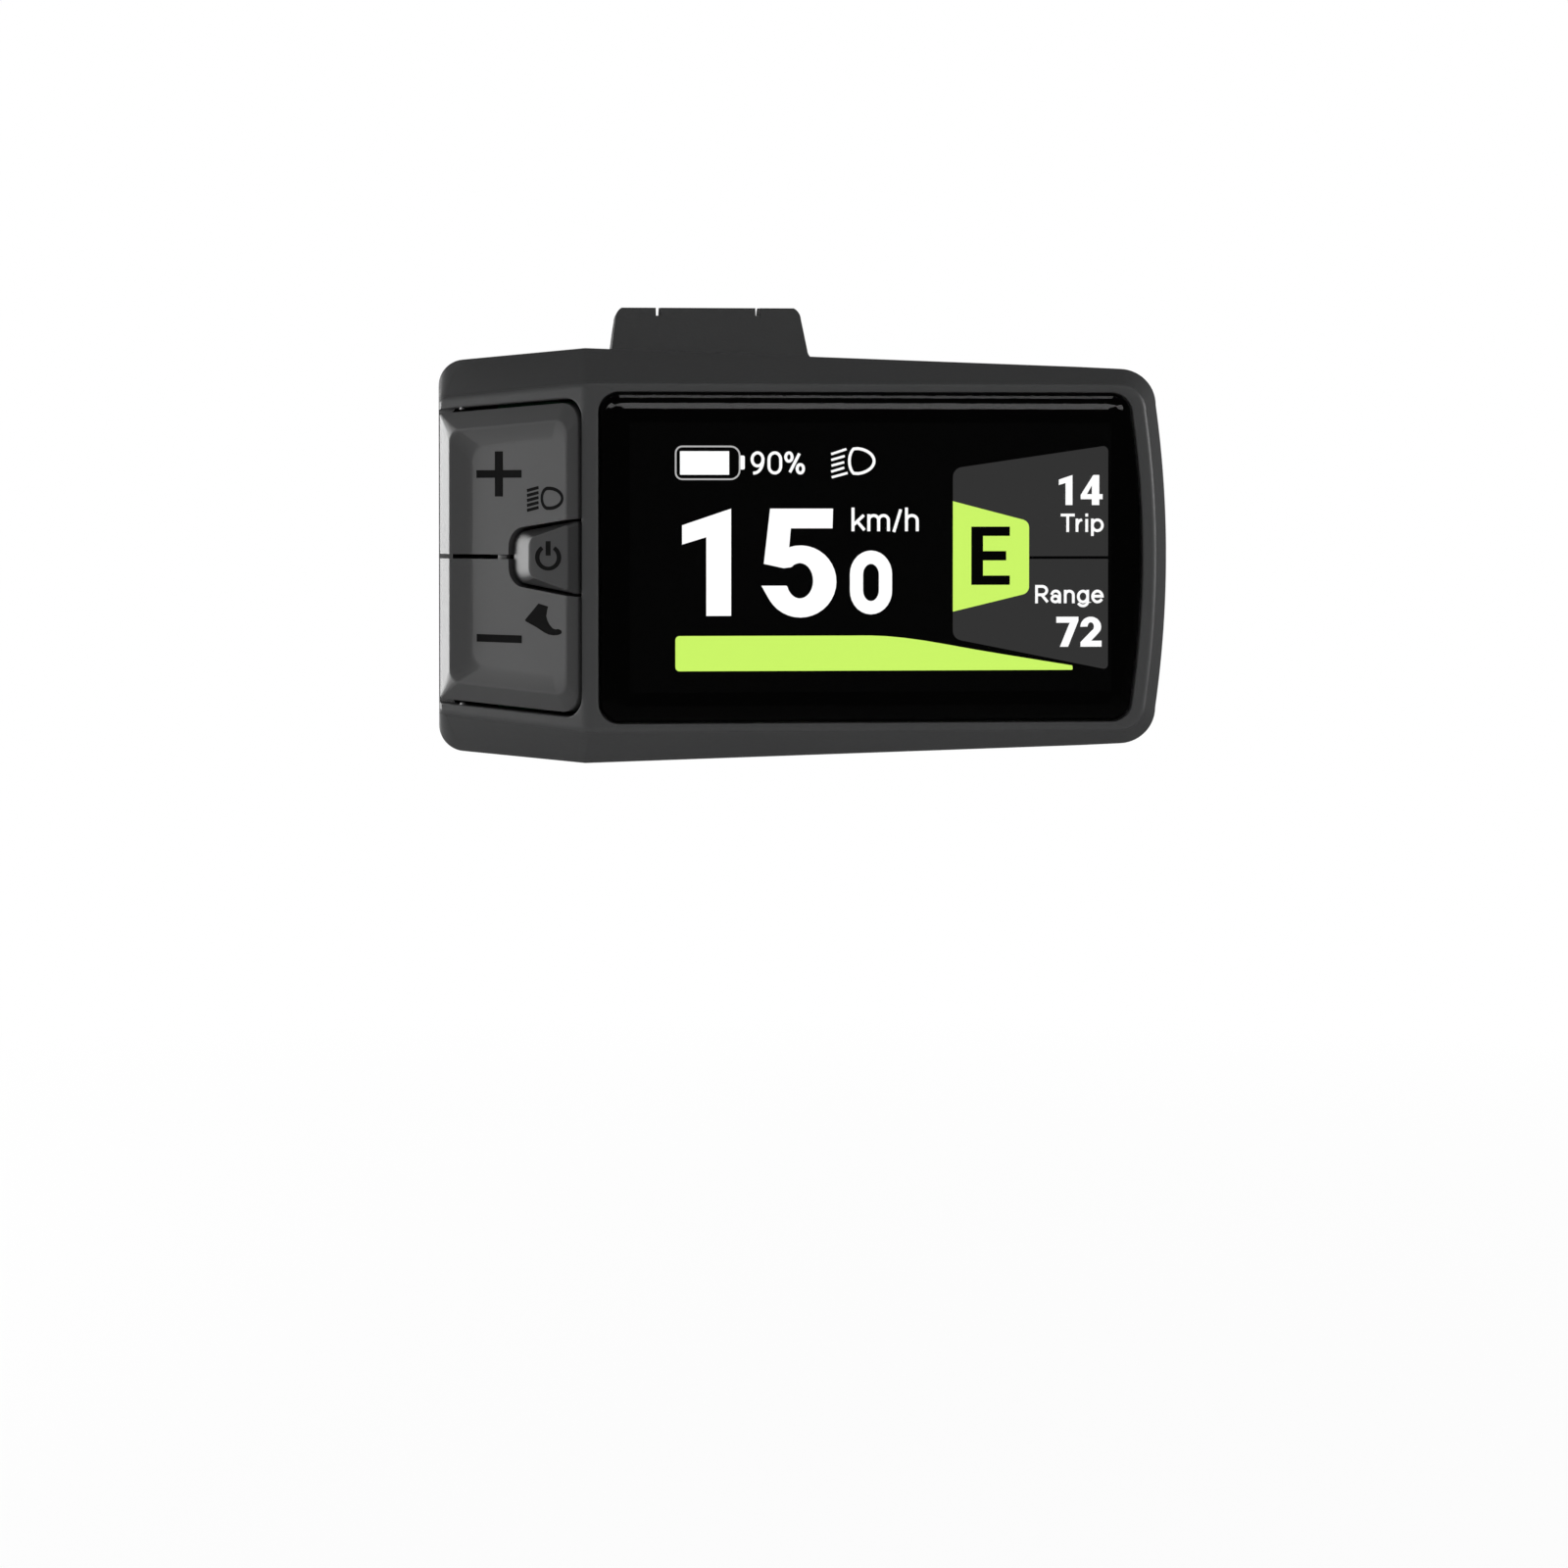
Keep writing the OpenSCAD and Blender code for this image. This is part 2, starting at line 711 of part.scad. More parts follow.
module main_board() {
    color("#1f5d3a")
    in_display()
        difference() {
            block([board_left, board_y, -board_half], [board_right, board_back, board_half]);
            at_places(housing_screw_places)
                y_cylinder(boss_r + seat_gap * 6, board_y - over, board_back + over);
            at_places(board_screw_places)
                y_cylinder(board_screw_r + seat_gap, board_y - over, board_back + over);
        }
}
module on_board(x_share, z, w, h, t) {
    x = mix(board_left, board_right, x_share);
    translate([x - w / 2, board_back, z - h / 2])
        cube([w, t, h]);
}
module processor_chip() {
    color("#151515")
    in_display()
        on_board(0.2, board_half / 4, chip_w, chip_w, chip_t);
}
module radio_module() {
    color("#c2c4c6")
    in_display()
        on_board(0.8, board_half / 3, radio_w, radio_h, radio_t);
}
module power_components() {
    color("#3b3b3b")
    in_display() {
        on_board(0.5, -board_half / 8, coil_w, coil_w, coil_t);
        for (share = [0.62, 0.72])
            translate([mix(board_left, board_right, share), 0, -board_half / 8])
                y_cylinder(cap_r, board_back, board_back + cap_t);
    }
}
module flex_connectors() {
    color("#e6e1d3")
    in_display() {
        translate([lcd_x + lcd_w / 2, board_y - board_gap * 0.8, flex_low + flex_w / 3 + seat_gap])
            translate([-flex_w / 2, 0, 0])
                cube([flex_w, board_gap * 0.8, flex_plug_w]);
        translate([board_left + flex_plug_w, board_back, -flex_w / 2])
            cube([flex_plug_w, flex_plug_t, flex_w]);
    }
}
module board_socket() {
    color("#e6e1d3")
    in_display()
        difference() {
            on_board(0.25, gland_z, socket_w, socket_h, socket_t);
            translate([0, socket_t / 4, 0])
                on_board(0.27, gland_z, socket_w, socket_h * 0.7, socket_t / 2);
        }
}
module board_screws() {
    color("#8a8d90")
    in_display()
        at_places(board_screw_places)
            screw(board_screw_r, ledge_y + over * 1.2, board_back, board_screw_head_r, board_screw_head_t);
}

// Keys, their mat and their board

dome_places = [[key_post_s, key_post_z], [key_post_s, -key_post_z], [power_post_s, 0]];
module key_post(i) {
    translate([-dome_places[i].x, 0, dome_places[i].y])
        y_cylinder(post_r, key_base - seat_gap * 2, post_end);
}
module rocker_key(up) {
    inset = key_chamfer + key_crest;
    inset_left = inset + key_left_extra;
    inset_right = key_chamfer_right + key_crest;
    low = key_base + over;
    intersection() {
        difference() {
            mirrored_loft([
                dish_ring(pad_half(inset + dish_run, inset_left + dish_run + dish_left_extra,
                    inset_right + dish_right, dish_corner)),
                flat(pad_half(inset, inset_left, inset_right, crest_corner), -key_rise),
                flat(pad_half(key_chamfer, key_chamfer + key_left_extra, key_chamfer_right, crest_corner),
                    -key_rise),
                flat(pad_half(0, 0, 0, key_corner), 0),
                flat(pad_half(0, 0, 0, key_corner), key_base)
            ]);
            block([-key_end - over, lip_seat, -glass_h], [-key_open_left + key_gap, low, glass_h]);
            y_prism(whole(power_half(key_gap, 0, -over, power_corner)), -key_rise - over, low);
        }
        block([-key_end - over, -key_rise - over, up ? key_gap / 2 : -glass_h],
              [over, low, up ? glass_h : -key_gap / 2]);
    }
}
module plus_key() {
    color("#55565a")
    on_facet() {
        rocker_key(true);
        key_post(0);
    }
}
module minus_key() {
    color("#55565a")
    on_facet() {
        rocker_key(false);
        key_post(1);
    }
}
module power_key() {
    color("#4a4b4e")
    on_facet() {
        mirrored_loft([
            flat(power_top_half(), -power_rise),
            flat(power_half(0, 0, key_gap, power_corner), 0),
            flat(power_half(0, 0, key_gap, power_corner), key_base)
        ]);
        key_post(2);
    }
}
module key_mat() {
    color("#26272a")
    on_facet() {
        difference() {
            block([-key_board_left, mat_top, -mat_half], [-key_board_right, key_board_y - slip, mat_half]);
            block([-key_board_left + mat_rim, mat_top + mat_t, -mat_half + mat_rim],
                  [-key_board_right - mat_rim, key_board_y + over, mat_half - mat_rim]);
        }
        for (p = dome_places)
            translate([-p.x, 0, p.y])
                y_cylinder(dome_r, dome_top, mat_top + mat_t / 2);
    }
}
module key_board() {
    color("#1f5d3a")
    on_facet()
        block([-key_board_left, key_board_y, -key_board_half],
              [-key_board_right, key_board_y + key_board_t, key_board_half]);
}
module key_switches() {
    color("#b9bcc0")
    on_facet()
        for (p = dome_places)
            translate([-p.x - switch_w / 2, key_board_y - switch_t, p.y - switch_w / 2])
                cube([switch_w, switch_t, switch_w]);
}
module key_flex() {
    back = key_board_y + key_board_t + slip;
    start = on_facet_xy(key_board_right + stop_len, back);
    edge = on_facet_xy(key_board_right - flex_t, back);
    plug = [board_left + flex_plug_w, board_back + flex_plug_t / 2];
    color("#b5762a")
    in_display()
        translate([0, 0, -flex_w / 4])
            linear_extrude(height = flex_w / 2)
                polygon([
                    start, edge, [plug.x - flex_w / 6, plug.y], plug,
                    plug + [0, flex_t], [plug.x - flex_w / 6, plug.y + flex_t],
                    edge + [0, flex_t * 1.4], start + [0, flex_t * 1.4]
                ]);
}

// Cable outlet

module cable_gland() {
    color("#1e1e1f")
    in_display()
        at_gland()
            difference() {
                union() {
                    x_cylinder(gland_r, gland_mouth - gland_len, gland_mouth + gland_flange_t / 2);
                    x_cylinder(gland_flange_r, gland_mouth + seat_gap, gland_mouth + gland_flange_t);
                    translate([gland_mouth + gland_flange_t / 2, 0, 0])
                        rotate([0, 90, 0])
                            cylinder(r1 = gland_r + sleeve_wall / 3, r2 = gland_r, h = gland_len / 3);
                }
                x_cylinder(gland_bore / 2, gland_mouth - gland_len - over, gland_mouth + gland_len);
            }
}

// Clamp

module bore_cut(r) {
    x_cylinder(r, -clamp_w, clamp_w);
}
function rounded_foot(half_w, top, low, r) = concat(
    [[-half_w, top]],
    [for (i = [0:arc_steps]) let (a = 180 + 90 * i / arc_steps)
        [-half_w + r + r * cos(a), low + r + r * sin(a)]],
    [for (i = [0:arc_steps]) let (a = 270 + 90 * i / arc_steps)
        [half_w - r + r * cos(a), low + r + r * sin(a)]],
    [[half_w, top]]
);
module clamp_ear(y0, y1) {
    y_prism(rounded_foot(ear_w, -ring_in + over / 2, bolt_z - ear_drop, ear_drop), y0, y1);
}

// What lies outside the sloping, rounded side of the hinge tab
module tab_side() {
    top = hinge_z + knuckle_r;
    low = bracket_shoulder + knuckle_r;
    y_prism(concat(
        [[clamp_w, low - over], [foot_half, low - over]],
        [for (i = [0:arc_steps]) let (a = 270 - 90 * i / arc_steps)
            [foot_half + tab_fillet * cos(a), low + tab_fillet + tab_fillet * sin(a)]],
        [for (i = [0:arc_steps]) let (a = 90 * i / arc_steps)
            [tab_top_half - tab_corner + tab_corner * cos(a), top - tab_corner + tab_corner * sin(a)]],
        [[tab_top_half - tab_corner, top + over], [clamp_w, top + over]]
    ), plate_y - over, over);
}
foot_half = tab_top_half + tab_draft + tab_fillet;
slot_half = knuckle_w / 2 + knuckle_side_gap;
slot_y = hinge_y - knuckle_r - swing_gap;
module at_hinge() {
    translate([0, hinge_y, hinge_z])
        children();
}
module at_bolt() {
    translate([0, 0, bolt_z])
        children();
}
module clamp_bracket() {
    color("#303133")
    difference() {
        union() {
            x_prism([
                [plate_y, bracket_low], [plate_y, bracket_shoulder],
                [-ring_r * 0.9, bracket_shoulder + knuckle_r],
                [slot_y - over * 1.4, flat_top], [slot_y + over, flat_top], [slot_y + over, 0],
                [-ring_r * 0.5, -ring_r * 0.9], [-ring_r * 0.75, bracket_low]
            ], foot_half * 2);
            intersection() {
                x_cylinder(ring_r, -clamp_w / 2, clamp_w / 2);
                block([-clamp_w, -ring_r - over, -ring_r - over], [clamp_w, -split_gap, ring_r + over]);
            }
            for (side = [-1, 1])
                translate([side * (slot_half + foot_half) / 2, 0, 0]) {
                    x_prism([
                        [plate_y * 0.8, bracket_shoulder], [slot_y - over * 1.4, flat_top],
                        [hinge_y, flat_top], [hinge_y, hinge_z],
                        [-split_gap * 2, ring_r * 0.95], [-split_gap * 2, ring_in]
                    ], foot_half - slot_half);
                    at_hinge()
                        x_cylinder(knuckle_r, -(foot_half - slot_half) / 2, (foot_half - slot_half) / 2);
                }
            clamp_ear(insert_end - bolt_grip - over, -split_gap);
        }
        bore_cut(ring_in);
        block([-slot_half, slot_y, ring_in * 0.75], [slot_half, over, hinge_z + ring_r]);
        for (side = [-1, 1])
            translate([side * (knuckle_w + knuckle_side_gap) / 2, 0, 0])
                block([-knuckle_side_gap / 2, -ring_r, notch_low],
                      [knuckle_side_gap / 2, slot_y + over, hinge_z + ring_r]);
        at_hinge()
            bore_cut(pin_r + slip);
        at_bolt()
            y_cylinder(bolt_r + insert_clear + insert_wall + slip, insert_end - bolt_grip, over);
        at_bolt()
            y_cylinder(bolt_r + insert_clear, insert_end - bolt_grip - over * 3, over);
        for (x = [-bracket_screw_x, bracket_screw_x], z = [bracket_screw_low, bracket_screw_top])
            translate([x, 0, z])
                y_cylinder(bracket_screw_r + slip, plate_y - over, plate_y + bracket_screw_bite + over / 4);
        tab_side();
        mirror([1, 0, 0])
            tab_side();
    }
}
module bracket_screws() {
    color("#8a8d90")
    in_display()
        at_bracket_screws() {
            y_cylinder(bracket_screw_r, screw_seat - seat_gap, pad_plane + bracket_screw_bite);
            difference() {
                y_cylinder(bracket_head_r, screw_seat - seat_gap - bracket_head_t, screw_seat - seat_gap);
                translate([0, screw_seat - bracket_head_t * 1.5, 0])
                    rotate([-90, 0, 0])
                        cylinder(r = bracket_head_r / 2, h = bracket_head_t, $fn = 6);
            }
        }
}
module clamp_pad(y0, y1) {
    intersection() {
        difference() {
            x_cylinder(ring_in - slip, -pad_w / 2, pad_w / 2);
            bore_cut(bar_r);
        }
        block([-clamp_w, y0, -ring_r], [clamp_w, y1, ring_r]);
    }
}
module bracket_pad() {
    color("#1d1d1e")
        clamp_pad(-ring_r, -split_gap);
}
module strap_pad() {
    color("#1d1d1e")
        difference() {
            clamp_pad(split_gap, ring_r);
            block([-clamp_w, -over, -ring_r], [clamp_w, strap_pad_start, 0]);
        }
}
module threaded_insert() {
    color("#b5923c")
        at_bolt()
            difference() {
                y_cylinder(bolt_r + insert_clear + insert_wall, insert_end - bolt_grip, insert_end);
                y_cylinder(bolt_r + insert_clear, insert_end - bolt_grip - over, insert_end + over);
            }
}
module hinge_pin() {
    color("#a9abad")
        at_hinge()
            x_cylinder(pin_r, -tab_top_half + tab_corner / 2, tab_top_half - tab_corner / 2);
}
module clamp_strap() {
    arm = knuckle_w;
    color("#303133")
    difference() {
        union() {
            intersection() {
                x_cylinder(ring_r, -clamp_w / 2, clamp_w / 2);
                block([-clamp_w, split_gap, -ring_r - over], [clamp_w, ring_r + over, ring_r + over]);
            }
            at_hinge()
                x_cylinder(knuckle_r, -arm / 2, arm / 2);
            x_prism([
                [hinge_y, hinge_z - knuckle_r * 0.9], [hinge_y, hinge_z + knuckle_r * 0.8],
                [hinge_y + knuckle_r * 0.8, hinge_z + knuckle_r * 0.65],
                [ring_r * 0.2, ring_r * 1.07], [ring_r * 0.56, ring_r * 0.8],
                [ring_r * 0.36, ring_in * 0.95]
            ], arm);
            clamp_ear(split_gap, split_gap + ear_t);
        }
        bore_cut(ring_in);
        at_hinge()
            bore_cut(pin_r + run_gap);
        at_bolt() {
            y_cylinder(bolt_r + run_gap * 2, -over, ear_t * 2);
            y_cylinder(washer_r + run_gap * 4, split_gap + ear_t, ring_r + head_h);
        }
    }
}
module clamp_bolt() {
    seat = split_gap + ear_t + washer_t + seat_gap * 2;
    color("#8f9194")
        at_bolt() {
            y_cylinder(bolt_r, insert_end - bolt_grip, seat + head_h / 2);
            difference() {
                y_cylinder(head_r, seat, seat + head_h);
                translate([0, seat + head_h / 2, 0])
                    rotate([-90, 0, 0])
                        cylinder(r = socket_r, h = head_h, $fn = 6);
            }
        }
}
module bolt_washer() {
    seat = split_gap + ear_t + seat_gap;
    color("#9b9da0")
        at_bolt()
            difference() {
                y_cylinder(washer_r, seat, seat + washer_t);
                y_cylinder(bolt_r + slip, seat - over, seat + washer_t + over);
            }
}

front_housing();
back_housing();
housing_seal();
housing_screws();
cover_glass();
glass_tape();
lcd_panel();
lcd_backlight();
display_flex();
main_board();
processor_chip();
radio_module();
power_components();
flex_connectors();
board_socket();
board_screws();
key_mat();
key_board();
key_switches();
key_flex();
plus_key();
minus_key();
power_key();
cable_gland();
clamp_bracket();
bracket_screws();
bracket_pad();
threaded_insert();
hinge_pin();
clamp_strap();
strap_pad();
clamp_bolt();
bolt_washer();
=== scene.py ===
import logging
import math
from dataclasses import dataclass, field
from enum import Enum
from typing import Callable, Sequence

import bmesh
import bpy
from mathutils import Matrix, Vector
from mathutils.bvhtree import BVHTree


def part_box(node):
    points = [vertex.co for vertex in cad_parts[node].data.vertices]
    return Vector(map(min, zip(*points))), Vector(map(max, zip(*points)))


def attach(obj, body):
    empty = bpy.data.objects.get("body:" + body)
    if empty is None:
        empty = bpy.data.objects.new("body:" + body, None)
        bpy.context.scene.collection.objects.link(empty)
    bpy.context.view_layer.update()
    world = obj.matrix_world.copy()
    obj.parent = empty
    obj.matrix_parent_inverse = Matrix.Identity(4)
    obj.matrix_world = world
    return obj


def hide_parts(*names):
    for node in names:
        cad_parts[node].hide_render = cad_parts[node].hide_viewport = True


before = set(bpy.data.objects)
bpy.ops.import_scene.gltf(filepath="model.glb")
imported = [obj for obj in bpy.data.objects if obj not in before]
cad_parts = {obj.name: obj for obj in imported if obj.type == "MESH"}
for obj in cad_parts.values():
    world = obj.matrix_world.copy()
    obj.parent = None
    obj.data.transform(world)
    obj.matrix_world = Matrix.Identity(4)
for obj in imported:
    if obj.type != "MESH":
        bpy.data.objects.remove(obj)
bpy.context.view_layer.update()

MM = 0.001
Point = tuple[float, float]
Point3 = tuple[float, float, float]
log = logging.getLogger("handlebar_display")


class Slot(Enum):
    """Material slots of the record."""
    SHELL = "shell"
    RUBBER = "rubber"
    STEEL = "steel"
    GLASS = "cover_glass"
    TAPE = "tape"
    LCD = "lcd"
    BACKLIGHT = "backlight"
    FLEX = "flex"
    BOARD = "board"
    CHIP = "chip"
    CAN = "can"
    CONNECTOR = "connector"
    KEY = "key"
    POWER_KEY = "power_key"
    BRACKET = "bracket"
    BOLT_STEEL = "bolt_steel"
    BRASS = "brass"


class Body(Enum):
    """Moving bodies of the frame."""
    HOUSING = "housing"
    STRAP = "strap"
    BOLT = "bolt"
    PLUS = "plus"
    MINUS = "minus"
    POWER = "power"


# Shader tools

class Socket:
    """A shader output on which Python operators add nodes."""

    def __init__(self, shader: "Shader", out: bpy.types.NodeSocket) -> None:
        """Keeps the output and the shader that new nodes go into."""
        self.shader = shader
        self.out = out

    def _math(self, operation: str, first: object, second: object) -> "Socket":
        """Adds a Math node on two values.

        Args:
            operation: the node's operation.
            first: a socket or a number.
            second: a socket or a number.

        Returns:
            The node's output.
        """
        return self.shader.node("ShaderNodeMath", {"operation": operation}, {0: first, 1: second})

    def __add__(self, other: object) -> "Socket":
        """self + other."""
        return self._math("ADD", self, other)

    def __radd__(self, other: object) -> "Socket":
        """other + self."""
        return self._math("ADD", other, self)

    def __sub__(self, other: object) -> "Socket":
        """self - other."""
        return self._math("SUBTRACT", self, other)

    def __rsub__(self, other: object) -> "Socket":
        """other - self."""
        return self._math("SUBTRACT", other, self)

    def __mul__(self, other: object) -> "Socket":
        """self * other."""
        return self._math("MULTIPLY", self, other)

    def __rmul__(self, other: object) -> "Socket":
        """other * self."""
        return self._math("MULTIPLY", other, self)

    def at_most(self, other: object) -> "Socket":
        """The smaller of self and other."""
        return self._math("MINIMUM", self, other)

    def at_least(self, other: object) -> "Socket":
        """The larger of self and other."""
        return self._math("MAXIMUM", self, other)


class Shader:
    """Node tree of one material or of the world."""

    def __init__(self, tree: bpy.types.NodeTree) -> None:
        """Empties the tree and keeps it."""
        self.tree = tree
        self.tree.nodes.clear()

    def node(self, kind: str, settings: dict[str, object] | None = None,
             inputs: dict[object, object] | None = None, output: object = 0) -> Socket:
        """Adds a node: its type, then its settings, then its sockets.

        Args:
            kind: the node's type.
            settings: properties that are set first.
            inputs: values or sockets by input name or number.
            output: name or number of the output to return.

        Returns:
            The chosen output, or an empty socket for an output node.
        """
        made = self.tree.nodes.new(kind)
        for name, value in (settings or {}).items():
            setattr(made, name, value)
        for name, value in (inputs or {}).items():
            if isinstance(value, Socket):
                self.tree.links.new(value.out, made.inputs[name])
            else:
                made.inputs[name].default_value = value
        return Socket(self, made.outputs[output] if made.outputs else None)

    def place(self) -> Socket:
        """Position in the object's own space, in metres."""
        return self.node("ShaderNodeTexCoord", output="Object")

    def noise(self, grain: float, detail: float = 3.0, stretch: Sequence[float] = (1, 1, 1)) -> Socket:
        """Noise between 0 and 1.

        Args:
            grain: size of a grain in metres.
            detail: octaves.
            stretch: scale along each axis.

        Returns:
            The noise value.
        """
        where = self.node("ShaderNodeVectorMath", {"operation": "MULTIPLY"},
                          {0: self.place(), 1: tuple(stretch)})
        return self.node("ShaderNodeTexNoise", {"noise_dimensions": "3D"},
                         {"Vector": where, "Scale": 1 / grain, "Detail": detail, "Roughness": 0.55})

    def mix(self, share: object, first: object, second: object) -> Socket:
        """Blends two colours.

        Args:
            share: how much of the second, a socket or a number.
            first: colour or socket at share 0.
            second: colour or socket at share 1.

        Returns:
            The blended colour.
        """
        first, second = (value if isinstance(value, Socket) else (*value, 1.0) for value in (first, second))
        return self.node("ShaderNodeMix", {"data_type": "RGBA"}, {0: share, 6: first, 7: second}, output=2)

    def spread(self, value: Socket, low: float, high: float) -> Socket:
        """Maps 0..1 to low..high."""
        return value * (high - low) + low

    def bump(self, height: Socket, depth: float) -> Socket:
        """Normal bent by a height between 0 and 1 of a depth in metres."""
        return self.node("ShaderNodeBump", None, {"Height": height, "Distance": depth, "Strength": 1.0})

    def surface(self, **inputs: object) -> None:
        """Adds the Principled shader and the output.

        Args:
            inputs: socket names with underscores for blanks, and their values or sockets.
        """
        named = {name.replace("_", " "): value for name, value in inputs.items()}
        named = {name: (*value, 1.0) if isinstance(value, tuple) and len(value) == 3 else value
                 for name, value in named.items()}
        shader = self.node("ShaderNodeBsdfPrincipled", None, named)
        self.node("ShaderNodeOutputMaterial", None, {"Surface": shader})


# Finishes

def scaled(color: Sequence[float], factor: float) -> Point3:
    """A colour times a factor."""
    return tuple(min(1.0, part * factor) for part in color[:3])


@dataclass(frozen=True)
class Finish:
    """A finish, whose kinds paint a shader of their own."""
    name: str

    def material(self) -> bpy.types.Material:
        """Builds the material.

        Returns:
            The material.
        """
        made = bpy.data.materials.new(self.name)
        made.use_nodes = True
        self.paint(Shader(made.node_tree))
        return made

    def paint(self, shader: Shader) -> None:
        """Adds the nodes of this kind of finish."""
        raise NotImplementedError


@dataclass(frozen=True)
class Moulded(Finish):
    """Moulded plastic or rubber: mottled colour over a fine spark-eroded grain.

    Args:
        name: material's name.
        color: linear base colour.
        rough: mean roughness.
        grain: size of a grain in metres.
        depth: depth of the grain in metres.
        mottle: share by which the colour varies.
        specular: strength of the reflection, 0.5 for common plastic.
        cloud: size of the mottling in metres.
        speck: size of the specks, in grains.
        vary: how far the roughness varies either way.
    """
    color: Point3
    rough: float
    grain: float = 0.00022
    depth: float = 0.000012
    mottle: float = 0.08
    specular: float = 0.5
    cloud: float = 0.012
    speck: float = 3.1
    vary: float = 0.05

    def paint(self, shader: Shader) -> None:
        """Mottles the colour and grains the surface.

        Args:
            shader: the material's node tree.
        """
        cloud = shader.noise(self.cloud, 4)
        fine = shader.noise(self.grain, 4)
        speck = shader.noise(self.grain * self.speck, 2)
        tone = shader.mix(cloud * 0.6 + fine * 0.4, scaled(self.color, 1 - self.mottle),
                          scaled(self.color, 1 + self.mottle))
        rough = shader.spread(cloud * 0.5 + speck * 0.5, self.rough - self.vary, self.rough + self.vary)
        shader.surface(Base_Color=tone, Roughness=rough, Specular_IOR_Level=self.specular,
                       Normal=shader.bump(fine * 0.7 + speck * 0.3, self.depth))


@dataclass(frozen=True)
class Metal(Finish):
    """Turned or plated metal with fine tool marks.

    Args:
        name: material's name.
        color: linear base colour.
        rough: mean roughness.
        stretch: scale of the tool marks along each axis.
        mark: width of a tool mark in metres.
        depth: depth of a tool mark in metres.
        cloud: size of the clouding in metres.
        tones: darkest and brightest share of the colour.
        vary: how far the roughness falls and rises.
    """
    color: Point3
    rough: float
    stretch: Point3 = (1.0, 1.0, 1.0)
    mark: float = 0.0004
    depth: float = 0.000006
    cloud: float = 0.004
    tones: Point = (0.86, 1.08)
    vary: Point = (0.08, 0.1)

    def paint(self, shader: Shader) -> None:
        """Clouds the metal and draws its tool marks.

        Args:
            shader: the material's node tree.
        """
        marks = shader.noise(self.mark, 3, self.stretch)
        cloud = shader.noise(self.cloud, 3)
        dark, bright = self.tones
        smoother, rougher = self.vary
        tone = shader.mix(cloud, scaled(self.color, dark), scaled(self.color, bright))
        rough = shader.spread(marks * 0.6 + cloud * 0.4, self.rough - smoother, self.rough + rougher)
        shader.surface(Base_Color=tone, Metallic=1.0, Roughness=rough,
                       Normal=shader.bump(marks, self.depth))


@dataclass(frozen=True)
class Pane(Finish):
    """Clear toughened cover glass.

    Args:
        name: material's name.
        index: index of refraction.
        film: size of the film's clouds in metres.
        haze: roughness where the film is thickest.
    """
    index: float = 1.5
    film: float = 0.02
    haze: float = 0.02

    def paint(self, shader: Shader) -> None:
        """Clear glass with a faint film on it.

        Args:
            shader: the material's node tree.
        """
        film = shader.noise(self.film, 2)
        shader.surface(Base_Color=(1.0, 1.0, 1.0), Roughness=shader.spread(film, 0.0, self.haze),
                       IOR=self.index, Transmission_Weight=1.0)


@dataclass(frozen=True)
class Lit(Finish):
    """A lit region of the display image.

    Args:
        name: material's name.
        color: linear colour of the light.
        strength: strength of the emission.
        raster: size of the panel's raster in metres.
        dim: brightness between its points, as a share.
    """
    color: Point3
    strength: float
    raster: float = 0.00012
    dim: float = 0.97

    def paint(self, shader: Shader) -> None:
        """Light with the faint raster of the panel in it.

        Args:
            shader: the material's node tree.
        """
        raster = shader.noise(self.raster, 1)
        light = shader.mix(raster, scaled(self.color, self.dim), self.color)
        shader.surface(Base_Color=(0.0, 0.0, 0.0), Roughness=0.6, Specular_IOR_Level=0.0,
                       Emission_Color=light, Emission_Strength=self.strength)


@dataclass(frozen=True)
class Laminate(Finish):
    """Circuit board or film: solder mask over faint copper tracks.

    Args:
        name: material's name.
        color: linear colour of the mask.
        track: linear colour over the tracks.
        rough: least roughness.
        vary: how far the roughness rises.
        cloud: size of the clouding in metres.
        scale: scale of the pattern of tracks, per metre.
        width: width of a track in the pattern's units.
        depth: height of a track in metres.
    """
    color: Point3
    track: Point3
    rough: float
    vary: float = 0.12
    cloud: float = 0.003
    scale: float = 900.0
    width: float = 0.03
    depth: float = 0.00002

    def paint(self, shader: Shader) -> None:
        """Mask over a pattern of tracks.

        Args:
            shader: the material's node tree.
        """
        lines = shader.node("ShaderNodeTexBrick", {"offset": 0.35},
                            {"Vector": shader.place(), "Scale": self.scale, "Mortar Size": self.width,
                             "Color1": (0, 0, 0, 1), "Color2": (0, 0, 0, 1), "Mortar": (1, 1, 1, 1)},
                            output="Fac")
        cloud = shader.noise(self.cloud, 3)
        tone = shader.mix(lines * 0.7 + cloud * 0.2, self.color, self.track)
        shader.surface(Base_Color=tone, Roughness=shader.spread(cloud, self.rough, self.rough + self.vary),
                       Normal=shader.bump(lines, self.depth))


